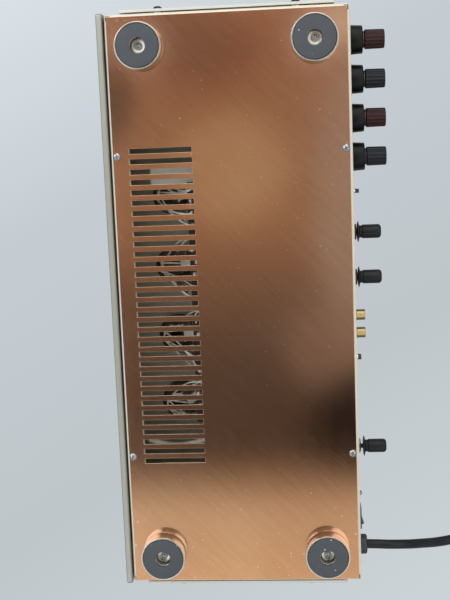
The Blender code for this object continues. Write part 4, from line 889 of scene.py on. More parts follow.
panel_low, panel_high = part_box("front_panel")
panel_size = panel_high - panel_low
panel_place = facing_rear(0, panel_low.y, (panel_low.z + panel_high.z) / 2)
panel_loops = []
for level, inset in (
    (0, PANEL_CHAMFER),
    (PANEL_CHAMFER, 0),
    (PANEL_THICKNESS - PANEL_CHAMFER, 0),
    (PANEL_THICKNESS, PANEL_CHAMFER),
):
    panel_loops.append(
        rounded_loop(panel_size.x - 2 * inset, panel_size.z - 2 * inset, PANEL_CORNER - inset, level)
    )
lamp_place = facing_rear(0, panel_low.y, ROW_Z)
recess_profile = ring_shape(0, LAMP_RADIUS, -LAMP_DEPTH, LAMP_DEPTH)
lamp_recess = turned("lamp_recess", recess_profile, LAMP_SIDES, lamp_place, 0)
# Brushed and anodised: lines 0.5 mm apart, coarser than real brushing so that they show
satin_anodised = finish(
    "satin_anodised_aluminium",
    ("#a3a499", "#93948a"),
    (0.30, 0.46),
    30 * MM,
    0.5 * MM,
    0.02 * MM,
    (0.03, 1, 1),
    Metallic=0.6,
)
panel_mesh = carved(lofted("front_panel", panel_loops, panel_place), lamp_recess)
panel = piece("front_panel_plate", panel_mesh, satin_anodised, stands_for=["front_panel"])
broken_edges(panel, EDGE / 3)
spacer = turned("spacer", ring_shape(0, PANEL_SPACER, 0, PANEL_GAP - SEAT), SPACER_SIDES, edge=EDGE / 3)
spacer_x = chassis_high.x - PANEL_SPACER_INSET
spacer_z = (chassis_high.z - chassis_low.z) / 2 - PANEL_SPACER_INSET / 2
spacer_y = panel_low.y + PANEL_THICKNESS
spacer_moves = [facing_rear(sx * spacer_x, spacer_y, ROW_Z + sz * spacer_z) for sx, sz in FOUR_WAYS]
spacers = copies("panel_spacers", spacer, spacer_moves)
piece("panel_spacers", spacers, bright_turned)
lens_radius = LAMP_RADIUS - BEZEL_WALL
bezel_profile = ring_shape(lens_radius, LAMP_RADIUS - SEAT / 2, LAMP_DEPTH, -BEZEL_WALL / 2)
bezel = turned("lamp_bezel", bezel_profile, LAMP_SIDES, lamp_place, EDGE / 4, True)
piece("lamp_bezel", bezel, bright_turned)
lens_profile = [(0, LAMP_DEPTH), (lens_radius, LAMP_DEPTH)]
for across, up in quarter_turn(8):
    lens_profile.append((lens_radius * across, LAMP_DEPTH - LENS_RISE * (1 + up) / LENS_FLATNESS))
# Clear amber acrylic over an unlit lamp, faintly uneven from its mould
amber_acrylic = finish(
    "amber_acrylic",
    ("#c98a3a", "#b87326"),
    (0.08, 0.16),
    2 * MM,
    0.4 * MM,
    0.02 * MM,
    Transmission_Weight=0.35,
)
lens = turned("lamp_lens", lens_profile, LAMP_SIDES, lamp_place, 0)
piece("lamp_lens", lens, amber_acrylic)

# Side plates
# Thin steel plates in white enamel, one over each end of the chassis. Each stands on four
# spacers and is held by four black dome screws with a hexagon recess.

SIDE_THICKNESS = 2.0 * MM
SIDE_CORNER = 2.0 * MM
SIDE_SPACER = 4.5 * MM
SIDE_SCREW_Y = 50.5 * MM
SIDE_SCREW_Z = 21 * MM
DOME_SCREW = (7.0 * MM, 2.6 * MM)
DOME_RECESS_SHARE = 0.3
DOME_KEPT_SHARE = 0.96
DOME_RISE_SHARE = 0.55
SIXTH_TURN = 1.05


def dome_screws():
    """Dome heads with a hexagon recess, set on points with their tops along one axis."""
    numbers = ("Head Radius", "Head Height", "Recess Radius")
    tree, given, close = growing("dome_screws", numbers, ("Axis",), ("Seed",))
    radius, height = given["Head Radius"], given["Head Height"]
    ball = add(tree, "GeometryNodeMeshUVSphere", {"Segments": SCREW_SIDES, "Rings": 24, "Radius": radius})
    squash = add(tree, "ShaderNodeMath", {0: height, 1: radius}, operation="DIVIDE")
    scale = add(tree, "ShaderNodeCombineXYZ", {"X": 1.0, "Y": 1.0, "Z": squash})
    flat = add(tree, "GeometryNodeTransform", {"Geometry": ball, "Scale": scale})
    within = add(tree, "ShaderNodeMath", {0: radius, 1: DOME_KEPT_SHARE}, operation="MULTIPLY")
    drum = add(tree, "GeometryNodeMeshCylinder", {"Vertices": SCREW_SIDES, "Radius": within, "Depth": height})
    rise = add(tree, "ShaderNodeMath", {0: height, 1: DOME_RISE_SHARE}, operation="MULTIPLY")
    lift = add(tree, "ShaderNodeCombineXYZ", {"Z": rise})
    keep = add(tree, "GeometryNodeTransform", {"Geometry": drum, "Translation": lift})
    head = add(tree, "GeometryNodeMeshBoolean", {"Mesh 2": flat}, operation="INTERSECT", solver="EXACT")
    feed(tree, head, {"Mesh 2": keep})
    key_size = {"Vertices": 6, "Radius": given["Recess Radius"], "Depth": height}
    key = add(tree, "GeometryNodeMeshCylinder", key_size)
    top = add(tree, "ShaderNodeCombineXYZ", {"Z": height})
    socket = add(tree, "GeometryNodeTransform", {"Geometry": key, "Translation": top})
    meshes = {"Mesh 1": head, "Mesh 2": socket}
    hollow = add(tree, "GeometryNodeMeshBoolean", meshes, operation="DIFFERENCE", solver="EXACT")
    close(driven_home(tree, given, hollow, SIXTH_TURN))
    return tree


dome_tree = dome_screws()
# White stove enamel: very fine orange peel at a soft gloss
white_enamel = finish("white_enamel", ("#d0cdc2", "#c6c3b7"), (0.24, 0.36), 50 * MM, 1.2 * MM, 0.015 * MM)
# Black oxide on screw steel: dark and oily
black_oxide = finish(
    "black_oxide_steel", ("#2a2b2d", "#3a3c3f"), (0.3, 0.45), 1.5 * MM, 0.3 * MM, 0.01 * MM, Metallic=0.8
)
for side, sign in (("left", -1), ("right", 1)):
    low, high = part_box(f"side_plate_{side}")
    mid = (low + high) / 2
    face = high.x if sign > 0 else low.x
    outward = Matrix.Rotation(sign * math.pi / 2, 4, "Y")
    side_place = at(face - sign * SIDE_THICKNESS, mid.y, mid.z) @ outward
    tall, deep = high.z - low.z, high.y - low.y
    loops = [rounded_loop(tall, deep, SIDE_CORNER, level) for level in (0, SIDE_THICKNESS)]
    side_mesh = lofted(f"side_plate_{side}", loops, side_place)
    plate = piece(
        f"side_cover_{side}", side_mesh, white_enamel, stands_for=[f"side_plate_{side}"]
    )
    broken_edges(plate, EDGE)
    side_y = chassis_low.y / 2 + chassis_high.y / 2
    spots = [(face, side_y + sy * SIDE_SCREW_Y, ROW_Z + sz * SIDE_SCREW_Z) for sy, sz in FOUR_WAYS]
    sizes = {
        "Head Radius": DOME_SCREW[0] / 2,
        "Head Height": DOME_SCREW[1],
        "Recess Radius": DOME_SCREW[0] * DOME_RECESS_SHARE,
        "Axis": Vector((sign, 0, 0)),
        "Seed": 7 + sign,
    }
    piece(f"side_screws_{side}", grown(dome_tree, black_oxide, sizes, spots), black_oxide)
    gap = abs(face) - SIDE_THICKNESS - chassis_high.x - SEAT
    washer = turned("side_spacer", ring_shape(0, SIDE_SPACER, 0, gap), SPACER_SIDES, edge=EDGE / 3)
    moves = [at(sign * (chassis_high.x + SEAT), y, z) @ outward for _, y, z in spots]
    spacers = copies("side_spacers", washer, moves)
    piece(f"side_spacers_{side}", spacers, bright_turned)

# Tube sockets
# Four moulded sockets set through the chassis top: a ring with a bright clamp above, a brown
# body below with a bored middle, and a circle of eight tinned solder lugs.

SOCKET_RING = 18.5 * MM
SOCKET_RING_HEIGHT = 1.8 * MM
SOCKET_BODY = 14.3 * MM
SOCKET_DEPTH = 13 * MM
SOCKET_FOOT = 12.3 * MM
SOCKET_FOOT_DEPTH = 5 * MM
SOCKET_BORE = 4.25 * MM
SOCKET_EDGE = 0.5 * MM
SOCKET_SIDES = 72
CLAMP_EDGE = 0.05 * MM
LUG_COUNT = 8
LUG_CIRCLE = 8.75 * MM
LUG_SIZE = Vector((0.8 * MM, 2.4 * MM, 7.5 * MM))
SOLDER_RADIUS = 1.5 * MM
SOLDER_SHAPE = (0.75, 1.0, 1.3)
SOLDER_DOWN_SHARE = 0.8
TOP_PLATE = chassis_high.z


def solder_lugs():
    """A circle of flat lugs, each with a bead of solder round its end, at each point."""
    vectors = ("Lug Size", "Drop", "Bead Drop")
    tree, given, close = growing("solder_lugs", ("Circle", "Bead"), vectors, ("Count",))
    circle = add(tree, "GeometryNodeMeshCircle", {"Vertices": given["Count"], "Radius": given["Circle"]})
    lug = add(tree, "GeometryNodeMeshCube", {"Size": given["Lug Size"]})
    bead = add(tree, "GeometryNodeMeshIcoSphere", {"Radius": given["Bead"], "Subdivisions": 3})
    lug_and_bead = add(tree, "GeometryNodeJoinGeometry")
    for shape, drop, scale in ((lug, "Drop", (1, 1, 1)), (bead, "Bead Drop", SOLDER_SHAPE)):
        hung = {"Geometry": shape, "Translation": given[drop], "Scale": scale}
        feed(tree, lug_and_bead, {0: add(tree, "GeometryNodeTransform", hung)})
    outward = add(tree, "GeometryNodeInputPosition")
    turned_out = add(tree, "FunctionNodeAlignRotationToVector", {"Vector": outward}, axis="X")
    lugs = {"Points": circle, "Instance": lug_and_bead, "Rotation": turned_out}
    ring = add(tree, "GeometryNodeInstanceOnPoints", lugs)
    half_step = {"Geometry": ring, "Rotation": (0, 0, math.pi / LUG_COUNT)}
    socket = add(tree, "GeometryNodeTransform", half_step)
    close(add(tree, "GeometryNodeInstanceOnPoints", {"Points": given["Geometry"], "Instance": socket}))
    return tree


# Moulded brown phenolic: dark, mottled with its filler
brown_phenolic = finish(
    "brown_phenolic", ("#1d1714", "#2c231e"), (0.3, 0.46), 4 * MM, 0.5 * MM, 0.03 * MM
)
# Solder and tin: bright where it flowed, grey where it cooled dull
tinned = finish(
    "tinned_brass", ("#fbf8f0", "#d8d2c4"), (0.12, 0.3), 2 * MM, 0.6 * MM, 0.06 * MM, Metallic=0.3
)
tube_spots = [middle(f"tube_socket_{number}") for number in range(1, 5)]
socket_profile = (
    (SOCKET_BORE, SOCKET_RING_HEIGHT),
    (SOCKET_RING, SOCKET_RING_HEIGHT),
    (SOCKET_RING, SEAT),
    (SOCKET_BODY, SEAT),
    (SOCKET_BODY, -SOCKET_DEPTH),
    (SOCKET_FOOT, -SOCKET_DEPTH),
    (SOCKET_FOOT, -SOCKET_DEPTH - SOCKET_FOOT_DEPTH),
    (SOCKET_BORE, -SOCKET_DEPTH - SOCKET_FOOT_DEPTH),
)
clamp_profile = ring_shape(
    SOCKET_BODY + EDGE, SOCKET_RING - EDGE, SOCKET_RING_HEIGHT, SOCKET_RING_HEIGHT + SEAT
)
for number, spot in enumerate(tube_spots, 1):
    socket_place = at(spot.x, spot.y, TOP_PLATE)
    socket_mesh = turned("socket", socket_profile, SOCKET_SIDES, socket_place, SOCKET_EDGE, True)
    stands_for = [f"tube_socket_{number}"]
    piece(f"socket_body_{number}", socket_mesh, brown_phenolic, stands_for=stands_for)
    clamp_mesh = turned("clamp", clamp_profile, SOCKET_SIDES, socket_place, CLAMP_EDGE, True)
    piece(f"socket_clamp_{number}", clamp_mesh, bright_turned)
lug_low = TOP_PLATE - SOCKET_DEPTH - SOCKET_FOOT_DEPTH
lug_sizes = {
    "Count": LUG_COUNT,
    "Circle": LUG_CIRCLE,
    "Lug Size": LUG_SIZE,
    "Drop": (0, 0, -LUG_SIZE.z / 2 + EDGE),
    "Bead": SOLDER_RADIUS,
    "Bead Drop": (0, 0, -LUG_SIZE.z * SOLDER_DOWN_SHARE),
}
lug_mesh = grown(solder_lugs(), tinned, lug_sizes, [(spot.x, spot.y, lug_low) for spot in tube_spots])
piece("socket_lugs", lug_mesh, tinned)

# Wiring and small parts inside
# Sleeved wire from the lugs to a loom, bare tinned wire along the row, and small parts from the
# lugs to a tag strip, with one pale tag board. They show only through the vent slots.

WIRE = 1.5 * MM
BARE_WIRE = 1.3 * MM
LEAD = 0.8 * MM
LOOM = 5 * MM
PALE_HOSE = 4.5 * MM
RESISTOR = (2.2 * MM, 11 * MM)
FOIL_CAPACITOR = (3.6 * MM, 15 * MM)
CEMENT_BLOCK = Vector((3.2, 3.2, 8)) * MM
STRIP_SIZE = Vector((188, 7, 1.6)) * MM
STRIP_BEHIND = 20 * MM
STRIP_Z = 33 * MM
TAG_PITCH = 9.4 * MM
TAG_BEAD = (1.0 * MM, 2.1 * MM)
TAG_BEAD_SQUASH = (0.8, 1.4)
TAG_BEAD_TALL = 1.2
TAG_BEAD_SIDES = 20
PART_SIDES = 24
BOARD_SIZE = Vector((15, 36, 1.6)) * MM
BOARD_BESIDE = 16.5 * MM
BOARD_Z = 36 * MM
PILLAR = 2.4 * MM
# Shares of a small part's half length and radius where its body draws in
BODY_END_SHARE = 0.62
BODY_WAIST_SHARE = 0.84
BODY_WAIST_FROM = 0.5
BODY_ROUND_SHARE = 0.4
LEAD_SHARE = 0.3
OUTER_PILLARS_SHARE = 0.46
BOARD_PILLARS_SHARE = 0.4
BARE_RUNS = ((6, -22), (7, 20), (5, -12), (0, 25), (4, -26))
RING_LUGS = (4, 5, 6, 7, 0)
HOSE_BESIDE = 24 * MM
HOSE_REACH = 23 * MM
HOSE_BOW = (-6 * MM, -7 * MM)
LUG_END = lug_low - LUG_SIZE.z + 1.0 * MM
LOOM_Z = TOP_PLATE - 8 * MM
LOOM_Y = middle("driver_board").y + 20 * MM
draw = random.Random(21)


def between(low, high):
    return draw.uniform(low, high) * MM


def lug_at(number, index):
    """The end of one socket lug."""
    turn = (index + 0.5) * 2 * math.pi / LUG_COUNT
    spot = tube_spots[number]
    return Vector((spot.x + LUG_CIRCLE * math.cos(turn), spot.y + LUG_CIRCLE * math.sin(turn), LUG_END))


def hung_between(start, end, sag, sway, count=10):
    """A slack line between two points, with its middle hung low and pushed aside."""
    line = []
    for step in range(count + 1):
        t = step / count
        bow = 4 * t * (1 - t)
        line.append(start.lerp(end, t) + Vector((sway * bow, 0, -sag * bow)))
    return line


def lying_between(start, end):
    """Puts a shape made along Z with its middle half way between two points, in line with them."""
    return at(*((start + end) / 2)) @ (end - start).to_track_quat("Z", "Y").to_matrix().to_4x4()


def axial_part(radius, length):
    """A part with leads: fuller at both ends of its body, as a dipped resistor is."""
    half = length / 2
    waist = (radius * BODY_WAIST_SHARE, -half * BODY_WAIST_FROM)
    profile = [(0, -half), (radius, -half), (radius, -half * BODY_END_SHARE), waist]
    profile += [(r, -z) for r, z in reversed(profile)]
    return turned("axial_part", profile, PART_SIDES, edge=radius * BODY_ROUND_SHARE)


def sleeve(name, colours):
    return finish(name, colours, (0.35, 0.5), 6 * MM, 0.6 * MM, 0.02 * MM)


def coated(name, colours):
    return finish(name, colours, (0.25, 0.42), 4 * MM, 0.6 * MM, 0.03 * MM)


black_sleeve = sleeve("black_wire_sleeve", ("#17181a", "#242628"))
pale_sleeve = sleeve("pale_wire_sleeve", ("#d9d3c4", "#c6bfae"))
brown_sleeve = sleeve("brown_wire_sleeve", ("#4a2b22", "#3c231d"))
# Dipped resistors in a brown-grey lacquer, foil capacitors wound in brown film, fired cement
lacquer = coated("resistor_lacquer", ("#6e6255", "#574c41"))
wound_film = coated("wound_film", ("#4d3f30", "#3c3125"))
ceramic_white = coated("ceramic_white", ("#d9d6cc", "#c8c4b8"))
pale_laminate = coated("pale_laminate", ("#c9cbbf", "#b8baae"))

tags = []
strip_y = tube_row_y + STRIP_BEHIND
for step in range(int(STRIP_SIZE.x / TAG_PITCH)):
    tag_x = (step + 0.5) * TAG_PITCH - STRIP_SIZE.x / 2
    tags.append(Vector((tag_x, strip_y + between(-1.5, 1.5), STRIP_Z - between(1, 2.5))))


def nearest_tag(x):
    return min(tags, key=lambda tag: abs(tag.x - x))


wire_groups = {"black": [], "pale": [], "brown": [], "bare": []}
part_moves = {"resistor": [], "foil": [], "cement": []}
part_leads = []
# Each wire's or part's kind, how far along the row it drifts in millimetres, and its lug
LUG_WIRES = (("brown", 6, 1), ("black", 2, 3), ("black", -9, 5), ("pale", -6, 6), ("pale", 10, 2))
LUG_PARTS = (
    ("resistor", 2, 2),
    ("cement", 8, 1),
    ("resistor", -10, 3),
    ("foil", 17, 0),
    ("resistor", -19, 4),
)
for number, spot in enumerate(tube_spots):
    for group, drift, index in LUG_WIRES:
        start = lug_at(number, index)
        end = Vector((start.x + drift * MM, LOOM_Y + between(-3, 3), LOOM_Z + between(-4, 4)))
        line = hung_between(start, end, between(3, 12), between(-6, 6))
        wire_groups[group].append([start + Vector((0, 0, WIRE)), *line])
    for kind, drift, index in LUG_PARTS:
        start = lug_at(number, index)
        end = nearest_tag(spot.x + drift * MM)
        part_moves[kind].append(lying_between(start, end))
        part_leads += [[start, start.lerp(end, LEAD_SHARE)], [end, end.lerp(start, LEAD_SHARE)]]
    for index, drift in BARE_RUNS:
        start = lug_at(number, index)
        end = nearest_tag(spot.x + drift * MM) - Vector((0, 0, BARE_WIRE))
        wire_groups["bare"].append(hung_between(start, end, between(-2, 9), between(-5, 5)))
    ring = [lug_at(number, index) + Vector((0, 0, between(-2, 2))) for index in RING_LUGS]
    wire_groups["bare"].append(smooth_line(ring, 3 * MM))
for group, material in (("black", black_sleeve), ("pale", pale_sleeve), ("brown", brown_sleeve)):
    tubes(f"hookup_wires_{group}", wire_groups[group], WIRE, 2, material)
tubes("bare_wires", wire_groups["bare"], BARE_WIRE, 2, tinned)
tubes("part_leads", part_leads, LEAD, 2, tinned)
loom_ends = [Vector((sign * STRIP_SIZE.x / 2, LOOM_Y, LOOM_Z)) for sign in (-1, 1)]
tubes("wire_loom", [hung_between(*loom_ends, between(1, 2), 0, 40)], LOOM, 3, black_sleeve)
end_x = tube_spots[0].x - HOSE_BESIDE
hose = [Vector((end_x, tube_row_y + side * HOSE_REACH, STRIP_Z)) for side in (-1, 1)]
tubes("pale_hose", [hung_between(*hose, *HOSE_BOW, 20)], PALE_HOSE, 4, pale_sleeve)
shapes = {
    "resistor": (axial_part(*RESISTOR), lacquer, "bakelite"),
    "foil": (axial_part(*FOIL_CAPACITOR), wound_film, "bakelite"),
    "cement": (block("cement", -CEMENT_BLOCK, CEMENT_BLOCK), ceramic_white, "side_paint"),
}
for kind, (shape, material, slot) in shapes.items():
    moves = part_moves[kind]
    small = piece(f"{kind}_parts", copies(kind, shape, moves), material)
    if kind == "cement":
        broken_edges(small, EDGE)

# The tag strip and the tag board on their pillars, with a bead of solder on each tag
strip_middle = Vector((0, strip_y, STRIP_Z))
strip_mesh = block("strip", strip_middle, strip_middle + STRIP_SIZE)
strip = piece("tag_strip", strip_mesh, brown_phenolic)
strip.data.transform(at(*(-STRIP_SIZE / 2)))
broken_edges(strip, EDGE / 2)
board_x = tube_spots[3].x + BOARD_BESIDE
board_middle = Vector((board_x, tube_row_y + STRIP_BEHIND / 3, BOARD_Z))
tag_board_mesh = block("tag_board", board_middle, board_middle + BOARD_SIZE)
board = piece("tag_board", tag_board_mesh, pale_laminate)
board.data.transform(at(*(-BOARD_SIZE / 2)))
broken_edges(board, EDGE / 2)
pillars = [Vector((side * OUTER_PILLARS_SHARE * STRIP_SIZE.x, strip_y, STRIP_Z)) for side in (-1, 0, 1)]
pillars += [board_middle + Vector((0, side * BOARD_SIZE.y * BOARD_PILLARS_SHARE, 0)) for side in (-1, 1)]
pillar_lines = [[spot, Vector((spot.x, spot.y, TOP_PLATE - SHEET - SEAT))] for spot in pillars]
tubes("tag_pillars", pillar_lines, 2 * PILLAR, 3, bright_turned)
beads = []
for tag in tags:
    size = draw.uniform(*TAG_BEAD)
    squash = Matrix.Diagonal((1, draw.uniform(*TAG_BEAD_SQUASH), TAG_BEAD_TALL, 1))
    spin = Matrix.Rotation(draw.uniform(0, math.pi), 4, "Z")
    beads.append(at(*tag) @ spin @ squash @ Matrix.Scale(size, 4))
half_circle = [(math.cos(a / 8 * math.pi), math.sin(a / 8 * math.pi)) for a in range(-4, 5)]
bead = turned("bead", half_circle, TAG_BEAD_SIDES, edge=0)
piece("tag_beads", copies("tag_beads", bead, beads), tinned)

# Driver board
# A glass-fibre board that hangs from the chassis top on four turned standoffs. It carries two
# ceramic sockets and two sleeved capacitors.

BOARD_THICKNESS = 1.6 * MM
BOARD_SOCKET = 10 * MM
BOARD_SOCKET_HEIGHT = 9 * MM
BOARD_STANDOFF = 3 * MM
BOARD_STANDOFF_INSET = 5 * MM
BOARD_CAPACITOR = 7 * MM
BOARD_CAPACITOR_X = 16 * MM
BOARD_CAPACITOR_LENGTH = 18 * MM
CERAMIC_SHOULDER_SHARE = 0.8
CERAMIC_TOP_SHARE = 0.86
SOFT_END = 0.6 * MM
CERAMIC_SIDES = 64
CAN_SIDES = 48
GROOVE_DEPTH = 0.8 * MM
GROOVE_LEVELS = (-2.4 * MM, -1.9 * MM, -1.4 * MM)
board_low, board_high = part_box("driver_board")
board_top = board_high.z - BOARD_SOCKET_HEIGHT
board_y = (board_low.y + board_high.y) / 2
driver_spots = [middle(f"driver_tube_{side}") for side in ("left", "right")]
laminate = finish("glass_fibre_board", ("#a9ad92", "#9aa084"), (0.3, 0.45), 8 * MM, 0.9 * MM, 0.03 * MM)
board_mesh = block(
    "board", (board_low.x, board_low.y, board_top - BOARD_THICKNESS), (board_high.x, board_high.y, board_top)
)
broken_edges(piece("board_sheet", board_mesh, laminate, stands_for=["driver_board"]), EDGE / 2)
ceramic_profile = (
    (0, 0),
    (BOARD_SOCKET, 0),
    (BOARD_SOCKET, BOARD_SOCKET_HEIGHT * CERAMIC_SHOULDER_SHARE),
    (BOARD_SOCKET * CERAMIC_TOP_SHARE, BOARD_SOCKET_HEIGHT),
    (0, BOARD_SOCKET_HEIGHT),
)
ceramic = turned("ceramic_socket", ceramic_profile, CERAMIC_SIDES, HERE, SOFT_END)
moves = [at(spot.x, board_y, board_top) for spot in driver_spots]
piece("driver_sockets", copies("driver_sockets", ceramic, moves), ceramic_white)
standoff = turned("standoff", ring_shape(0, BOARD_STANDOFF, 0, BOARD_SOCKET_HEIGHT), 6, edge=EDGE / 2)
moves = [
    at(x + sx * BOARD_STANDOFF_INSET, y + sy * BOARD_STANDOFF_INSET, board_top)
    for x, sx in ((board_low.x, 1), (board_high.x, -1))
    for y, sy in ((board_low.y, 1), (board_high.y, -1))
]
standoffs = copies("board_standoffs", standoff, moves)
piece("board_standoffs", standoffs, bright_turned, crease=25)
can_profile = (
    (0, -BOARD_CAPACITOR_LENGTH),
    (BOARD_CAPACITOR, -BOARD_CAPACITOR_LENGTH),
    (BOARD_CAPACITOR, GROOVE_LEVELS[0]),
    (BOARD_CAPACITOR - GROOVE_DEPTH, GROOVE_LEVELS[1]),
    (BOARD_CAPACITOR, GROOVE_LEVELS[2]),
    (BOARD_CAPACITOR, 0),
    (0, 0),
)
can = turned("sleeved_can", can_profile, CAN_SIDES, HERE, SOFT_END)
moves = [at(side * BOARD_CAPACITOR_X, board_y, board_top - BOARD_THICKNESS) for side in (-1, 1)]
sleeve_blue = finish("capacitor_sleeve", ("#22344f", "#1c2b42"), (0.25, 0.36), 8 * MM, 0.8 * MM, 0.02 * MM)
piece("board_capacitors", copies("board_capacitors", can, moves), sleeve_blue)

# Power tubes
# Four octal output tubes: a black phenolic base with a nickel collar and eight pins, a blown
# glass envelope with a waist, and inside it a pinched stem, micas, a folded grey anode and a
# silvery getter flash under the dome. They stand in the sockets by their pins.

GLASS_WALL = 0.9 * MM
TUBE_BASE = 16.7 * MM
TUBE_BASE_HEIGHT = 15 * MM
TUBE_GLASS = 16.2 * MM
TUBE_WAIST = 1.6 * MM
TUBE_DOME = 14 * MM
KEY_RADIUS = 3.95 * MM
KEY_LENGTH = 9 * MM
PIN_RADIUS = 1.15 * MM
PIN_LENGTH = 10.5 * MM
ANODE_SIZE = (19 * MM, 12 * MM, 42 * MM)
ANODE_RISE = 29 * MM
MICA_RADIUS = 14.2 * MM
MICA_THICKNESS = 0.3 * MM
ROD_RADIUS = 0.55 * MM
GETTER_REACH = 0.86
ANODE_RIBS = 6
ANODE_PRESS = 0.45 * MM
ANODE_FLANGE_SHARE = 0.28
ANODE_FLANGE_FROM = 0.93
ANODE_FLANGE_RUN = 0.07
ANODE_SQUARENESS = (0.7, 0.8)
BAND_SHARE = 0.62
BAND_EDGE = 0.05 * MM
BASE_EDGE = 0.8 * MM
PIN_END = 0.7 * MM
ROD_END = 0.2 * MM
STEM_ROUND = 1.5 * MM
MICA_BELOW = 1.2 * MM
MICA_ABOVE = 0.9 * MM
ROD_ABOVE = 4 * MM
ROD_SPOTS = ((12 * MM, 0), (-12 * MM, 0), (0, 8 * MM), (0, -8 * MM))
STEM_FOOT = 8 * MM
STEM_PINCH = 5 * MM
STEM_HEIGHTS = (7 * MM, 8 * MM)
TUBE_TURN = 11
TUBE_SIDES = 72
PIN_SIDES = 20
ROD_SIDES = 12
MICA_SIDES = 12
STEM_SIDES = 40
GETTER_SIDES = 60
GETTER_RINGS = 12
ANODE_SIDES = 48
ANODE_RINGS = 24
# Shares of a shell's dome, exhaust tip and wall: where its waist ends, its tip's outline across
# and down, and how far its inside stays below the crown
WAIST_RISE_SHARE = 0.8
TIP_ROOT_SHARE = 0.5
TIP_SHARES = ((0.45, 0.75), (0.28, 0.2), (0, 0))
CROWN_SHARE = 1.2


def eased(t):
    return t * t * (3 - 2 * t)


def envelope(name, base, radius, waist, height, dome, wall, place, tip=0.0, steps=14):
    """A blown glass shell: out from its base, straight, then over a round dome; inner wall too."""
    outer = []
    for step in range(steps + 1):
        t = step / steps
        outer.append((radius - waist * (1 - eased(t)), base + dome * WAIST_RISE_SHARE * t))
    outer += [(radius * across, height - tip - dome * (1 - up)) for across, up in quarter_turn(steps)]
    if tip:
        outer = [point for point in outer if point[0] > tip * TIP_ROOT_SHARE]
        outer += [(tip * across, height - tip * down) for across, down in TIP_SHARES]
    else:
        outer[-1] = (0, height)
    inner_top = height - tip - wall * CROWN_SHARE
    inner = [(max(x - wall, 0), min(z, inner_top)) for x, z in outer if x > wall or x == 0]
    return turned(name, [*outer, *inner[::-1]], TUBE_SIDES, place, 0, True)


def anode(name, width, depth, height, low, place):
    """A folded sheet anode: an oval box with a flange at each side and pressed ribs."""
    loops = []
    for step in range(ANODE_RINGS + 1):
        t = step / ANODE_RINGS
        press = ANODE_PRESS * (math.sin(t * math.pi * ANODE_RIBS) ** 2)
        loop = []
        for k in range(ANODE_SIDES):
            turn = k / ANODE_SIDES * 2 * math.pi
            x, y = math.cos(turn), math.sin(turn)
            past = max(0, abs(x) - ANODE_FLANGE_FROM)
            flange = ANODE_FLANGE_SHARE * width * past / ANODE_FLANGE_RUN
            across = abs(x) ** ANODE_SQUARENESS[0] * (width / 2 - press) + flange
            deep = abs(y) ** ANODE_SQUARENESS[1] * (depth / 2 - press)
            loop.append((math.copysign(across, x), math.copysign(deep, y), low + height * t))
        loops.append(loop)
    return lofted(name, loops, place)


# Clear soda glass with the faintest grey; slow ripples from the blowing
clear_glass = finish(
    "clear_blown_glass",
    ("#f4f7f7", "#eaf0f0"),
    (0.02, 0.06),
    30 * MM,
    9 * MM,
    0.05 * MM,
    Transmission_Weight=1.0,
    IOR=1.5,
)
carbonised = finish(
    "carbonised_steel", ("#34363a", "#43464b"), (0.5, 0.7), 7 * MM, 0.6 * MM, 0.03 * MM, Metallic=0.4
)
mica = finish("split_mica", ("#e8e3d2", "#d8d1bb"), (0.2, 0.4), 5 * MM, 0.8 * MM, 0.02 * MM)
# Getter flash: a barium mirror with faintly brown patches
getter_mirror = finish(
    "getter_mirror", ("#8d8f95", "#6a6560"), (0.06, 0.14), 9 * MM, 3 * MM, 0.01 * MM, Metallic=1.0
)
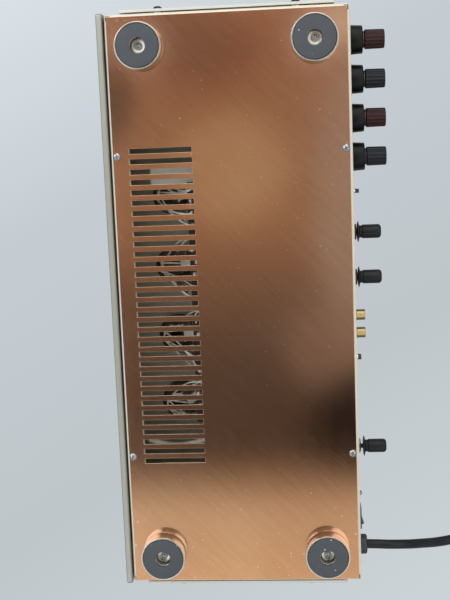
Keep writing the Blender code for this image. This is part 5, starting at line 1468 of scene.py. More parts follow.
# Nickel plate: bright and faintly warm
bright_nickel = finish(
    "bright_nickel", ("#dcdad4", "#c6c3bb"), (0.12, 0.24), 3 * MM, 0.4 * MM, 0.01 * MM, Metallic=1.0
)
base_phenolic = finish("base_phenolic", ("#1a1715", "#26211e"), (0.24, 0.36), 6 * MM, 0.5 * MM, 0.02 * MM)
for number in range(1, 5):
    low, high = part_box(f"power_tube_{number}")
    centre = (low + high) / 2
    seat_z = low.z + KEY_LENGTH
    height = high.z - seat_z
    upright = at(centre.x, centre.y, seat_z)
    tube_place = upright @ Matrix.Rotation(math.radians(TUBE_TURN * number), 4, "Z")
    base_profile = (
        (0, -KEY_LENGTH),
        (KEY_RADIUS, -KEY_LENGTH),
        (KEY_RADIUS, 0),
        (TUBE_BASE, 0),
        (TUBE_BASE, TUBE_BASE_HEIGHT),
        (0, TUBE_BASE_HEIGHT),
    )
    base_mesh = turned("tube_base", base_profile, TUBE_SIDES, tube_place, BASE_EDGE)
    piece(f"tube_base_{number}", base_mesh, base_phenolic)
    band_low, band_high = TUBE_BASE_HEIGHT * BAND_SHARE, TUBE_BASE_HEIGHT - EDGE
    band_profile = ring_shape(TUBE_BASE, TUBE_BASE + SEAT / 2, band_low, band_high)
    band_mesh = turned("tube_band", band_profile, TUBE_SIDES, tube_place, BAND_EDGE, True)
    piece(f"tube_band_{number}", band_mesh, bright_nickel)
    pin = turned("pin", ring_shape(0, PIN_RADIUS, -PIN_LENGTH, EDGE), PIN_SIDES, HERE, PIN_END)
    turns = [(index + 0.5) * 2 * math.pi / LUG_COUNT for index in range(LUG_COUNT)]
    pin_moves = [upright @ Matrix.Rotation(turn, 4, "Z") @ at(LUG_CIRCLE, 0, 0) for turn in turns]
    piece(f"tube_pins_{number}", copies("pins", pin, pin_moves), tinned)
    blown = (TUBE_BASE_HEIGHT - SEAT, TUBE_GLASS, TUBE_WAIST, height, TUBE_DOME, GLASS_WALL)
    glass_mesh = envelope("glass", *blown, tube_place)
    piece(f"tube_glass_{number}", glass_mesh, clear_glass, stands_for=[f"power_tube_{number}"])
    anode_mesh = anode("anode", *ANODE_SIZE, ANODE_RISE, tube_place)
    piece(f"tube_anode_{number}", anode_mesh, carbonised, crease=60)
    anode_top = ANODE_RISE + ANODE_SIZE[2]
    mica_disc = turned("mica", ring_shape(0, MICA_RADIUS, 0, MICA_THICKNESS), MICA_SIDES, edge=0)
    mica_moves = [tube_place @ at(0, 0, level) for level in (ANODE_RISE - MICA_BELOW, anode_top + MICA_ABOVE)]
    piece(f"tube_micas_{number}", copies("micas", mica_disc, mica_moves), mica, crease=20)
    rod_profile = ring_shape(0, ROD_RADIUS, TUBE_BASE_HEIGHT, anode_top + ROD_ABOVE)
    rod = turned("rod", rod_profile, ROD_SIDES, HERE, ROD_END)
    rod_moves = [tube_place @ at(x, y, 0) for x, y in ROD_SPOTS]
    piece(f"tube_rods_{number}", copies("rods", rod, rod_moves), bright_nickel)
    pinch, stem_top = (TUBE_BASE_HEIGHT + rise for rise in STEM_HEIGHTS)
    stem_profile = ((0, TUBE_BASE_HEIGHT), (STEM_FOOT, TUBE_BASE_HEIGHT), (STEM_PINCH, pinch), (0, stem_top))
    stem_mesh = turned("stem", stem_profile, STEM_SIDES, tube_place, STEM_ROUND)
    piece(f"tube_stem_{number}", stem_mesh, clear_glass)
    flash = []
    for step in range(GETTER_RINGS + 1):
        turn = math.pi / 2 - step / GETTER_RINGS * math.pi / 2 * GETTER_REACH
        reach = TUBE_GLASS - GLASS_WALL - SEAT
        flash.append((reach * math.cos(turn), height - GLASS_WALL - SEAT - TUBE_DOME * (1 - math.sin(turn))))
    flash[0] = (0, flash[0][1])
    back = [(max(x - SEAT, 0), z - SEAT) for x, z in flash]
    flash_mesh = turned("getter", [*flash, *back[::-1]], GETTER_SIDES, tube_place, 0, True)
    piece(f"tube_getter_{number}", flash_mesh, getter_mirror, crease=60)

# Driver tubes
# Two small nine-pin tubes in the board's sockets: all glass, with an exhaust tip, a twin grey
# anode, two micas and four rods.

DRIVER_GLASS = 10.8 * MM
DRIVER_WAIST = 1.2 * MM
DRIVER_DOME = 7 * MM
DRIVER_TIP = 4 * MM
DRIVER_WALL = 0.8 * MM
DRIVER_ANODE = (7.5 * MM, 7.5 * MM, 20 * MM)
DRIVER_ANODE_RISE = 13 * MM
DRIVER_ANODE_SPOTS = (-4.6 * MM, 4.6 * MM)
DRIVER_MICA = 9 * MM
DRIVER_MICA_LEVELS = (11.5 * MM, 34 * MM)
DRIVER_ROD_ENDS = (1 * MM, 36 * MM)
DRIVER_RODS = (8 * MM, 2 * MM)
for side, spot in zip(("left", "right"), driver_spots):
    low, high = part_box(f"driver_tube_{side}")
    height = high.z - low.z
    driver_place = at(spot.x, spot.y, low.z)
    blown = (0, DRIVER_GLASS, DRIVER_WAIST, height, DRIVER_DOME, DRIVER_WALL)
    glass_mesh = envelope("driver_glass", *blown, driver_place, DRIVER_TIP)
    piece(f"driver_glass_{side}", glass_mesh, clear_glass, stands_for=[f"driver_tube_{side}"])
    halves = []
    for x in DRIVER_ANODE_SPOTS:
        halves.append(anode("driver_anode", *DRIVER_ANODE, DRIVER_ANODE_RISE, at(x, 0, 0)))
    twin = joined("driver_anodes", halves, [driver_place] * 2)
    piece(f"driver_anodes_{side}", twin, carbonised, crease=60)
    disc = turned("mica", ring_shape(0, DRIVER_MICA, 0, MICA_THICKNESS), MICA_SIDES, edge=0)
    moves = [driver_place @ at(0, 0, level) for level in DRIVER_MICA_LEVELS]
    piece(f"driver_micas_{side}", copies("driver_micas", disc, moves), mica, crease=20)
    rod = turned("rod", ring_shape(0, ROD_RADIUS, *DRIVER_ROD_ENDS), ROD_SIDES, HERE, ROD_END)
    moves = [driver_place @ at(sx * DRIVER_RODS[0], sy * DRIVER_RODS[1], 0) for sx, sy in FOUR_WAYS]
    piece(f"driver_rods_{side}", copies("driver_rods", rod, moves), bright_nickel)

# Transformers
# A mains transformer between two output transformers, each under a deep-drawn steel cover in
# black stove enamel, on a flange that four hexagon bolts hold to the chassis top.

COVER_FLANGE = 5 * MM
COVER_FLANGE_THICKNESS = 2.5 * MM
COVER_CORNER = 9 * MM
COVER_TOP_ROUND = 5 * MM
COVER_FOOT_ROUND = 1.5 * MM
BOLT_ACROSS = 3.3 * MM
BOLT_HEIGHT = 2.4 * MM
BOLT_INSET = 4.2 * MM
NUT_CHAMFER = 0.5 * MM
BORE_SIDES = 40


def nut(name, across, low, high, place, bore):
    """A hexagon nut with a chamfer at both faces and a bore."""
    loops = []
    rings = ((low, NUT_CHAMFER), (low + NUT_CHAMFER, 0), (high - NUT_CHAMFER, 0), (high, NUT_CHAMFER))
    for level, inset in rings:
        radius = across - inset
        angles = [i * math.pi / 3 for i in range(6)]
        loops.append([(radius * math.cos(a), radius * math.sin(a), level) for a in angles])
    hole = turned("hole", ring_shape(0, bore, low - bore, high + bore), BORE_SIDES, place, 0)
    return carved(lofted(name, loops, place), hole)


# Black stove enamel: a smooth dark gloss from the oven
black_stove = finish(
    "black_stove_enamel", ("#1b1c1e", "#232427"), (0.22, 0.30), 40 * MM, 0.8 * MM, 0.006 * MM
)
for label in ("power_transformer", "output_transformer_left", "output_transformer_right"):
    low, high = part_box(label)
    size = high - low
    cover_place = at((low.x + high.x) / 2, (low.y + high.y) / 2, low.z)
    width, depth = size.x - 2 * COVER_FLANGE, size.y - 2 * COVER_FLANGE
    loops = [
        rounded_loop(size.x, size.y, COVER_CORNER + COVER_FLANGE / 2, level)
        for level in (0, COVER_FLANGE_THICKNESS)
    ]
    for across, up in quarter_turn(6):
        inset = -COVER_FOOT_ROUND * (1 - up)
        level = COVER_FLANGE_THICKNESS + COVER_FOOT_ROUND * (1 - across)
        loops.append(rounded_loop(width - 2 * inset, depth - 2 * inset, COVER_CORNER - inset, level))
    for across, up in quarter_turn(10):
        inset = COVER_TOP_ROUND * (1 - across)
        level = size.z - COVER_TOP_ROUND * (1 - up)
        loops.append(rounded_loop(width - 2 * inset, depth - 2 * inset, COVER_CORNER - inset, level))
    cover_mesh = lofted(label, loops, cover_place)
    piece(f"{label}_cover", cover_mesh, black_stove, stands_for=[label])
    bolt = nut("bolt", BOLT_ACROSS, 0, BOLT_HEIGHT, HERE, BOLT_ACROSS / 8)
    bolt_x, bolt_y = size.x / 2 - BOLT_INSET, size.y / 2 - BOLT_INSET
    corners = [(sx * bolt_x, sy * bolt_y, COVER_FLANGE_THICKNESS) for sx, sy in FOUR_WAYS]
    bolt_moves = [cover_place @ at(*corner) for corner in corners]
    piece(f"{label}_bolts", copies("bolts", bolt, bolt_moves), bright_nickel, crease=25)

# Loudspeaker binding posts
# Four posts through the rear wall. Each has a black moulded collar, a threaded brass stud with a
# nut inside, a gilt washer that clamps the wire, and a ribbed cap in maroon or black.

COLLAR_ROOT = 10.85 * MM
COLLAR_TIP = 10.25 * MM
COLLAR_LENGTH = 10 * MM
COLLAR_NECK = 4.5 * MM
STUD = 2.5 * MM
STUD_OUT = 21 * MM
STUD_IN = 14 * MM
THREAD_PITCH = 0.8 * MM
THREAD_DEPTH = 0.42 * MM
STEPS_PER_THREAD = 6
THREAD_FROM_SHARE = 0.98
COLLAR_EDGE = 0.8 * MM
POST_NUT = 7.0 * MM
POST_NUT_HEIGHT = 3.2 * MM
WASHER_BORE = 2.85 * MM
WASHER_EDGE = 0.15 * MM
CAP_ROOT = 7.25 * MM
CAP_TIP = 7.05 * MM
CAP_LENGTH = 14.8 * MM
CAP_BORE = 2.85 * MM
CAP_BORE_DEPTH = 12 * MM
CAP_EDGE = 0.6 * MM
CAP_FLUTES = 16
FLUTE_SIDES = 8
CAP_FLUTE_DEPTH = 0.5 * MM
CAP_FLUTE_FADE = 1.2 * MM
CAP_FLUTED_SHARE = 0.9
CAP_STEP = 0.7 * MM
PLUG_SOCKET = 2.1 * MM
PLUG_SOCKET_DEPTH = 2.2 * MM
SOCKET_RING_SHARE = 0.7
SOCKET_RING_EDGE = 0.1 * MM
COLLAR_SIDES = 96
STUD_SIDES = 24
WASHER_SIDES = 72
RING_SIDES = 40


def ribbed():
    """Ribs round a turned shape about Z: straight ones, or a thread where they climb."""
    numbers = ("Ribs", "Climb", "Depth", "Low", "High", "Fade", "Least Radius")
    tree, given, close = growing("ribbed", numbers, ("Place", "Turn"))
    spot = add(tree, "ShaderNodeSeparateXYZ", {0: add(tree, "GeometryNodeInputPosition")}).outputs
    flat = add(tree, "ShaderNodeCombineXYZ", {"X": spot["X"], "Y": spot["Y"]})
    reach = add(tree, "ShaderNodeVectorMath", {0: flat}, operation="LENGTH")
    outward = add(tree, "ShaderNodeVectorMath", {0: flat}, operation="NORMALIZE")
    angle = add(tree, "ShaderNodeMath", {0: spot["Y"], 1: spot["X"]}, operation="ARCTAN2")
    around = add(tree, "ShaderNodeMath", {0: angle, 1: given["Ribs"]}, operation="MULTIPLY")
    climbing = {0: spot["Z"], 1: given["Climb"], 2: around}
    phase = add(tree, "ShaderNodeMath", climbing, operation="MULTIPLY_ADD")
    swing = add(tree, "ShaderNodeMath", {0: phase}, operation="COSINE")
    wave = add(tree, "ShaderNodeMapRange", {"Value": swing, "From Min": -1.0})
    cut = add(tree, "ShaderNodeMath", {0: wave, 1: given["Depth"]}, operation="MULTIPLY")
    for edge, sense in (("Low", 1.0), ("High", -1.0)):
        past = add(tree, "ShaderNodeMath", {0: spot["Z"], 1: given[edge]}, operation="SUBTRACT")
        inside = add(tree, "ShaderNodeMath", {0: past, 1: sense}, operation="MULTIPLY")
        ramp = {"Value": inside, "From Max": given["Fade"]}
        faded = add(tree, "ShaderNodeMapRange", ramp, interpolation_type="SMOOTHSTEP")
        cut = add(tree, "ShaderNodeMath", {0: cut, 1: faded}, operation="MULTIPLY")
    outside = add(tree, "ShaderNodeMath", {0: reach, 1: given["Least Radius"]}, operation="GREATER_THAN")
    cut = add(tree, "ShaderNodeMath", {0: cut, 1: outside}, operation="MULTIPLY")
    inset = add(tree, "ShaderNodeMath", {0: cut, 1: -1.0}, operation="MULTIPLY")
    inward = add(tree, "ShaderNodeVectorMath", {0: outward, "Scale": inset}, operation="SCALE")
    moved = add(tree, "GeometryNodeSetPosition", {"Geometry": given["Geometry"], "Offset": inward})
    seated = {"Geometry": moved, "Translation": given["Place"], "Rotation": given["Turn"]}
    close(add(tree, "GeometryNodeTransform", seated))
    return tree


rib_tree = ribbed()
TO_REAR = (-math.pi / 2, 0, 0)


def fine_profile(corners, step):
    """The profile with points no further apart than a step along its straight runs."""
    points = [Vector(corners[0])]
    for corner in corners[1:]:
        start, end = points[-1], Vector(corner)
        count = max(1, math.ceil((end - start).length / step))
        points += [start.lerp(end, k / count) for k in range(1, count + 1)]
    return points


def phenolic(name, colours, gloss, patch, share):
    """Moulded phenolic: dark, satin, with a fine even pebble from the mould."""
    return finish(name, colours, gloss, patch, 0.5 * MM, 0.02 * MM, Specular_IOR_Level=share)


black_phenolic = phenolic("black_phenolic", ("#08090a", "#0e1011"), (0.26, 0.4), 6 * MM, 0.16)
maroon_phenolic = phenolic("maroon_phenolic", ("#24100f", "#301615"), (0.34, 0.48), 5 * MM, 0.2)
cap_phenolic = phenolic("cap_phenolic", ("#0d0f12", "#15181c"), (0.34, 0.48), 5 * MM, 0.24)
# Gilt brass: warm, a little uneven where the plating is thin
gilt = finish("gilt_brass", ("#b39a66", "#9c8150"), (0.22, 0.36), 3 * MM, 0.4 * MM, 0.01 * MM, Metallic=1.0)
# Clamp washers: gilt brass painted a dull dark brown, a painted shade for the narrow gap between collar and
# cap
shaded_gilt = finish(
    "shaded_gilt", ("#5c5444", "#473f33"), (0.34, 0.5), 2 * MM, 0.4 * MM, 0.02 * MM, Metallic=0.8
)
gold = finish("gold_plate", ("#a39163", "#877751"), (0.14, 0.26), 3 * MM, 0.4 * MM, 0.01 * MM, Metallic=1.0)

for number in range(1, 5):
    centre = middle(f"post_base_{number}")
    post_place = facing_rear(centre.x, REAR_WALL, ROW_Z)
    collar_profile = (
        (STUD + SEAT, -WALL_BACK),
        (COLLAR_NECK, -WALL_BACK),
        (COLLAR_NECK, SEAT),
        (COLLAR_ROOT, SEAT),
        (COLLAR_TIP, COLLAR_LENGTH),
        (STUD + SEAT, COLLAR_LENGTH),
    )
    collar_mesh = turned(f"post_collar_{number}", collar_profile, COLLAR_SIDES, post_place, COLLAR_EDGE, True)
    stands_for = [f"post_base_{number}"]
    piece(f"post_collar_{number}", collar_mesh, black_phenolic, stands_for=stands_for)
    stud_profile = fine_profile(ring_shape(0, STUD, -STUD_IN, STUD_OUT), THREAD_PITCH / STEPS_PER_THREAD)
    thread = {
        "Ribs": 1.0,
        "Climb": 2 * math.pi / THREAD_PITCH,
        "Depth": THREAD_DEPTH,
        "Low": -STUD_IN,
        "High": STUD_OUT,
        "Fade": THREAD_PITCH,
        "Least Radius": STUD * THREAD_FROM_SHARE,
        "Place": (centre.x, REAR_WALL, ROW_Z),
        "Turn": TO_REAR,
    }
    stud_mesh = grown(rib_tree, gilt, thread, base=turned("stud", stud_profile, STUD_SIDES, edge=0))
    piece(f"post_stud_{number}", stud_mesh, gilt, crease=60)
    inner_nut = nut("nut", POST_NUT, -WALL_BACK - POST_NUT_HEIGHT, -WALL_BACK, post_place, STUD)
    piece(f"post_nut_{number}", inner_nut, zinc_steel, crease=25)
    washer_low, washer_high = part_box(f"post_washer_{number}")
    washer_radius = (washer_high.x - washer_low.x) / 2
    thickness = washer_high.y - washer_low.y
    washer_profile = ring_shape(WASHER_BORE, washer_radius, 0, thickness)
    washer_place = facing_rear(centre.x, washer_low.y, ROW_Z)
    washer = turned("washer", washer_profile, WASHER_SIDES, washer_place, WASHER_EDGE, True)
    body = f"post_washer_{number}"
    # The washer's dark gilt is painted shade
    piece(f"clamp_washer_{number}", washer, shaded_gilt, body, [body])
    cap_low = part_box(f"post_cap_{number}")[0].y
    cap_corners = (
        (CAP_BORE, 0),
        (CAP_ROOT - CAP_EDGE, 0),
        (CAP_ROOT, CAP_EDGE),
        (CAP_TIP, CAP_LENGTH - CAP_EDGE),
        (CAP_TIP - CAP_EDGE, CAP_LENGTH),
        (PLUG_SOCKET + SEAT, CAP_LENGTH),
        (PLUG_SOCKET, CAP_LENGTH - SEAT),
        (PLUG_SOCKET, CAP_LENGTH - PLUG_SOCKET_DEPTH),
        (0, CAP_LENGTH - PLUG_SOCKET_DEPTH),
        (0, CAP_BORE_DEPTH),
        (CAP_BORE, CAP_BORE_DEPTH),
        (CAP_BORE, CAP_EDGE),
    )
    ribs = {
        "Ribs": float(CAP_FLUTES),
        "Climb": 0.0,
        "Depth": CAP_FLUTE_DEPTH,
        "Low": 0.0,
        "High": CAP_LENGTH,
        "Fade": CAP_FLUTE_FADE,
        "Least Radius": CAP_TIP * CAP_FLUTED_SHARE,
        "Place": (centre.x, cap_low, ROW_Z),
        "Turn": TO_REAR,
    }
    cap_base = turned("cap", fine_profile(cap_corners, CAP_STEP), CAP_FLUTES * FLUTE_SIDES, HERE, 0, True)
    moulding = maroon_phenolic if number % 2 else cap_phenolic
    slot = "post_maroon" if number % 2 else "post_black"
    body = f"post_cap_{number}"
    cap_mesh = grown(rib_tree, moulding, ribs, base=cap_base)
    piece(f"ribbed_cap_{number}", cap_mesh, moulding, body, [body], 30)
    ring_low, ring_high = CAP_LENGTH - PLUG_SOCKET_DEPTH, CAP_LENGTH - SEAT
    ring_profile = ring_shape(PLUG_SOCKET * SOCKET_RING_SHARE, PLUG_SOCKET, ring_low, ring_high)
    ring_place = facing_rear(centre.x, cap_low, ROW_Z)
    ring_mesh = turned("ring", ring_profile, RING_SIDES, ring_place, SOCKET_RING_EDGE, True)
    piece(f"cap_socket_ring_{number}", ring_mesh, gilt, body)

# Level controls, selector switch and their knobs
# Two potentiometers and one rotary switch behind the wall, held by hexagon nuts on their
# bushings. Each has a round moulded knob with a thin pointed skirt and a white line on its end.

CONTROL_BUSHING = 3.5 * MM
SHAFT = 1.8 * MM
SHAFT_ROOM = 2.15 * MM
CONTROL_NUT = 6.1 * MM
CONTROL_NUT_HEIGHT = 2.3 * MM
SKIRT = 7.9 * MM
SKIRT_SEAT = 5.9 * MM
SKIRT_THICKNESS = 1.6 * MM
SKIRT_EDGE = 0.5 * MM
KNOB_NECK = 4.7 * MM
KNOB_NECK_LENGTH = 2.0 * MM
KNOB_BODY = 5.3 * MM
KNOB_LENGTH = 18.2 * MM
KNOB_END = 2.4 * MM
KNOB_LINE = 0.9 * MM
KNOB_LINE_DEPTH = 0.35 * MM
KNOB_EDGE = 0.12 * MM
CONTROL_EDGE = 0.4 * MM
CONTROL_SIDES = 72
KNOB_SIDES = 96

# Olive chromate on the level controls' nuts
olive_chromate = finish(
    "olive_chromate", ("#4a4d3c", "#3a3d30"), (0.35, 0.5), 2 * MM, 0.3 * MM, 0.01 * MM, Metallic=0.7
)
# Knob plastic: ABS with a soft matt texture from the mould
knob_abs = finish(
    "knob_abs", ("#0c0e10", "#15181a"), (0.36, 0.52), 6 * MM, 0.45 * MM, 0.02 * MM, Specular_IOR_Level=0.26
)

for label, control, knob, nut_finish in (
    ("level_left", "level_control_left", "level_knob_left", olive_chromate),
    ("level_right", "level_control_right", "level_knob_right", olive_chromate),
    ("selector", "selector_switch", "selector_knob", bright_nickel),
):
    low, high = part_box(control)
    centre = (low + high) / 2
    control_place = facing_rear(centre.x, REAR_WALL, ROW_Z)
    body = (high.z - low.z) / 2
    back = low.y - REAR_WALL
    nut_top = high.y - REAR_WALL
    can_profile = (
        (0, back),
        (body, back),
        (body, -WALL_BACK),
        (CONTROL_BUSHING, -WALL_BACK),
        (CONTROL_BUSHING, nut_top),
        (SHAFT_ROOM, nut_top),
        (SHAFT_ROOM, -WALL_BACK),
        (0, -WALL_BACK),
    )
    can = turned(f"can_{label}", can_profile, CONTROL_SIDES, control_place, CONTROL_EDGE)
    piece(f"control_{label}", can, bright_nickel, stands_for=[control])
    nut_mesh = nut("nut", CONTROL_NUT, SEAT, SEAT + CONTROL_NUT_HEIGHT, control_place, CONTROL_BUSHING)
    piece(f"control_nut_{label}", nut_mesh, nut_finish, crease=25)
    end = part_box(knob)[1].y - REAR_WALL
    standoff = end - KNOB_LENGTH
    face = standoff + SKIRT_THICKNESS
    peak = standoff + SKIRT_THICKNESS / 2
    knob_profile = [
        (0, -WALL_BACK + SEAT),
        (SHAFT, -WALL_BACK + SEAT),
        (SHAFT, standoff),
        (SKIRT_SEAT, standoff),
        (SKIRT, peak - SKIRT_EDGE / 2),
        (SKIRT, peak + SKIRT_EDGE / 2),
        (KNOB_BODY, face),
        (KNOB_NECK, face + SKIRT_EDGE),
        (KNOB_NECK, face + KNOB_NECK_LENGTH),
        (KNOB_BODY, face + KNOB_NECK_LENGTH + SKIRT_EDGE),
    ]
    for across, up in quarter_turn(8):
        knob_profile.append((KNOB_BODY - KNOB_END * (1 - across), end - KNOB_END * (1 - up)))
    knob_profile.append((0, end))
    line_room = block(
        "line_room",
        (-KNOB_LINE / 2, -KNOB_BODY, end - KNOB_LINE_DEPTH),
        (KNOB_LINE / 2, -SHAFT, end + KNOB_LINE),
        control_place,
    )
    knob_mesh = turned(f"knob_{label}", knob_profile, KNOB_SIDES, control_place, KNOB_EDGE)
    piece(f"knob_{label}", carved(knob_mesh, line_room), knob_abs, knob, [knob])
    line_mesh = block(
        "line",
        (-KNOB_LINE / 2, -(KNOB_BODY - KNOB_END), end - KNOB_LINE_DEPTH - SEAT),
        (KNOB_LINE / 2, -SHAFT, end - SEAT / 3),
        control_place,
    )
    piece(f"knob_line_{label}", line_mesh, white_enamel, knob)

# Line-input jacks
# Two gold-plated barrels with collars, turned from brass, on one black moulded block inside the
# wall. A white insulator with a bore fills each barrel.

JACK_BARREL = 4.15 * MM
JACK_COLLAR = 4.8 * MM
JACK_COLLAR_LENGTH = 1.2 * MM
JACK_NECK = 3.3 * MM
JACK_BORE = 1.7 * MM
JACK_BORE_DEPTH = 6.5 * MM
JACK_BLOCK_DEPTH = 9 * MM
JACK_INSULATOR = 3.2 * MM
JACK_PITCH = 14.0 * MM
JACK_EDGE = 0.35 * MM
INSULATOR_EDGE = 0.1 * MM
JACK_SIDES = 64
INSULATOR_SIDES = 48
jack_low, jack_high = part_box("input_jacks")
jack_end = jack_high.y - REAR_WALL
jack_middle = (jack_low.x + jack_high.x) / 2
barrel_profile = (
    (JACK_INSULATOR, -WALL_BACK),
    (JACK_NECK, -WALL_BACK),
    (JACK_NECK, SEAT),
    (JACK_COLLAR, SEAT),
    (JACK_COLLAR, SEAT + JACK_COLLAR_LENGTH),
    (JACK_BARREL, SEAT + JACK_COLLAR_LENGTH),
    (JACK_BARREL, jack_end),
    (JACK_INSULATOR, jack_end),
)
insulator_profile = (
    (0, -WALL_BACK),
    (JACK_INSULATOR, -WALL_BACK),
    (JACK_INSULATOR, jack_end - JACK_EDGE),
    (JACK_BORE, jack_end - JACK_EDGE),
    (JACK_BORE, jack_end - JACK_BORE_DEPTH),
    (0, jack_end - JACK_BORE_DEPTH),
)
jack_moves = [facing_rear(jack_middle + side * JACK_PITCH / 2, REAR_WALL, ROW_Z) for side in (-1, 1)]
barrel = turned("jack_barrel", barrel_profile, JACK_SIDES, HERE, JACK_EDGE, True)
barrels = copies("jack_barrels", barrel, jack_moves)
piece("jack_barrels", barrels, gold, stands_for=["input_jacks"])
white_nylon = finish("white_nylon", ("#e9e6dc", "#dedacd"), (0.35, 0.5), 5 * MM, 0.4 * MM, 0.02 * MM)
insulator = turned("jack_insulator", insulator_profile, INSULATOR_SIDES, HERE, INSULATOR_EDGE)
piece("jack_insulators", copies("jack_insulators", insulator, jack_moves), white_nylon)
carrier = block(
    "jack_carrier",
    (jack_low.x, REAR_WALL - WALL_BACK - JACK_BLOCK_DEPTH, jack_low.z),
    (jack_high.x, REAR_WALL - WALL_BACK - SEAT / 3, jack_high.z),
)
broken_edges(piece("jack_carrier", carrier, black_phenolic), EDGE)

# Small rear screws and pegs
# Two nickel pegs with black nylon caps, a tall pan head beside the switch and a small pan head
# between the jacks. All stand on the rear wall.

PEGS = (("right", 82.4 * MM, 1.65 * MM, 5.3 * MM), ("left", -46.8 * MM, 2.3 * MM, 4.6 * MM))
PEG_BASE_SHARE = 0.45
PEG_SHANK_SHARE = 0.8
PEG_CAP_SHARE = 0.96
PEG_EDGE = 0.2 * MM
PEG_CAP_ROUND = 0.5 * MM
PEG_SIDES = 40
SWITCH_SCREW_X = -157.5 * MM
SWITCH_SCREW = (4.3 * MM, 3.2 * MM)
JACK_SCREW = (2.6 * MM, 1.0 * MM)
for label, x, radius, proud in PEGS:
    peg_place = facing_rear(x, REAR_WALL, ROW_Z)
    split = proud * PEG_BASE_SHARE
    shank, crown = radius * PEG_SHANK_SHARE, radius * PEG_CAP_SHARE
    shank_profile = ((0, -WALL_BACK), (shank, -WALL_BACK), (shank, 0))
    base_profile = (*shank_profile, (radius, 0), (radius, split), (0, split))
    base_mesh = turned("peg", base_profile, PEG_SIDES, peg_place, PEG_EDGE)
    piece(f"peg_base_{label}", base_mesh, bright_nickel)
    cap_mesh = turned("peg_cap", ring_shape(0, crown, split, proud), PEG_SIDES, peg_place, PEG_CAP_ROUND)
    piece(f"peg_cap_{label}", cap_mesh, moulded_nylon)
REARWARD = Vector((0, 1, 0))
screws("switch_screw", [(SWITCH_SCREW_X, REAR_WALL, ROW_Z)], REARWARD, *SWITCH_SCREW, 11)
screws("jack_screw", [(jack_middle, REAR_WALL, ROW_Z)], REARWARD, *JACK_SCREW, 12)

# Mains switch
# A rocker switch pressed into the rear wall: a moulded housing with a chamfered bezel and an
# open well, and a dished rocker that tilts in it.

SWITCH_BEZEL = 2.1 * MM
SWITCH_CHAMFER = 0.5 * MM
SWITCH_LEDGE = 0.9 * MM
SWITCH_BACK = 14 * MM
SWITCH_WELL = 8.5 * MM
SWITCH_WALL = 1.2 * MM
SWITCH_EDGE = 0.15 * MM
ROCKER_EDGE = 0.3 * MM
ROCKER_GAP = 0.35 * MM
ROCKER_TILT = math.radians(9)
ROCKER_PIVOT = 2.5 * MM
ROCKER_SKIRT = 5.0 * MM
ROCKER_DISH = 0.9 * MM
ROCKER_STEPS = 8
switch_low, switch_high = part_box("switch_housing")
switch_x = (switch_low.x + switch_high.x) / 2
switch_width = switch_high.x - switch_low.x
switch_height = switch_high.z - switch_low.z
switch_place = facing_rear(switch_x, REAR_WALL, ROW_Z)
inner_width, inner_height = switch_width - 2 * SWITCH_LEDGE, switch_height - 2 * SWITCH_LEDGE
switch_loops = []
for level in (-SWITCH_BACK, SEAT):
    switch_loops.append(rounded_loop(inner_width, inner_height, SWITCH_LEDGE, level))
for level, inset in ((SEAT, 0), (SWITCH_BEZEL - SWITCH_CHAMFER, 0), (SWITCH_BEZEL, SWITCH_CHAMFER)):
    outer_width, outer_height = switch_width - 2 * inset, switch_height - 2 * inset
    switch_loops.append(rounded_loop(outer_width, outer_height, SWITCH_LEDGE, level))
well_x = inner_width / 2 - SWITCH_WALL
well_z = inner_height / 2 - SWITCH_WALL
well = block(
    "well", (-well_x, -well_z, SWITCH_BEZEL - SWITCH_WELL), (well_x, well_z, SWITCH_BEZEL * 2), switch_place
)
# Nylon: dark green-grey, satin from the mould
switch_nylon = finish("switch_nylon", ("#262f2d", "#303937"), (0.34, 0.48), 5 * MM, 0.4 * MM, 0.02 * MM)
rocker_nylon = finish("rocker_nylon", ("#293330", "#35403c"), (0.22, 0.34), 5 * MM, 0.4 * MM, 0.015 * MM)
frame_mesh = carved(lofted("switch_frame", switch_loops, switch_place), well)
housing = piece("switch_frame", frame_mesh, switch_nylon, stands_for=["switch_housing"])
broken_edges(housing, SWITCH_EDGE)
rocker_place = at(switch_x, REAR_WALL + SWITCH_BEZEL - ROCKER_PIVOT, ROW_Z)
rocker_place = rocker_place @ Matrix.Rotation(-ROCKER_TILT, 4, "Z") @ Matrix.Rotation(-math.pi / 2, 4, "X")
half, tall = well_x - ROCKER_GAP, well_z - ROCKER_GAP
crest = ROCKER_PIVOT + half * math.tan(ROCKER_TILT)
top_half = half - crest * math.tan(ROCKER_TILT)
rocker_outline = []
for step in range(-ROCKER_STEPS, ROCKER_STEPS + 1):
    reach = step / ROCKER_STEPS
    rocker_outline.append((reach * top_half, crest - ROCKER_DISH * (1 - reach * reach)))
rocker_outline += [
    (half - crest * math.tan(ROCKER_TILT) / 2, 0),
    (half / 2, -ROCKER_SKIRT),
    (-half / 2, -ROCKER_SKIRT),
    (-half + crest * math.tan(ROCKER_TILT) / 2, 0),
]
rocker_loops = [[(x, level, z) for x, z in rocker_outline] for level in (-tall, tall)]
key_mesh = lofted("switch_key", rocker_loops, rocker_place)
rocker = piece("switch_key", key_mesh, rocker_nylon, "switch_rocker", ["switch_rocker"], 30)
broken_edges(rocker, ROCKER_EDGE, 3)

# Stage
# A pale floor that shows from above and fades into the room, a glowing card that only metal
# mirrors, soft lamps, and the camera where the photograph's was.

EYE = Vector((0.11931, 0.04209, -0.74399))
AIM = Vector((0.005718, -0.018738, 0.0124))
ROLL = math.radians(2.28)
LENS = 61.23
SENSOR = 36.0
FLOOR_HALF = 3.0
FLOOR_DROP = 0.05 * MM
# How far the floor's painted contact shadow reaches
CONTACT_SHADOW_REACH = 60 * MM
FLOOR_FADE = (0.5, 1.8)


def flat_sheet(name, corners, material):
    mesh = bpy.data.meshes.new(name)
    mesh.from_pydata([tuple(c) for c in corners], [], [tuple(range(len(corners)))])
    obj = bpy.data.objects.new(name, mesh)
    mesh.materials.append(material)
    bpy.context.scene.collection.objects.link(obj)
    return obj


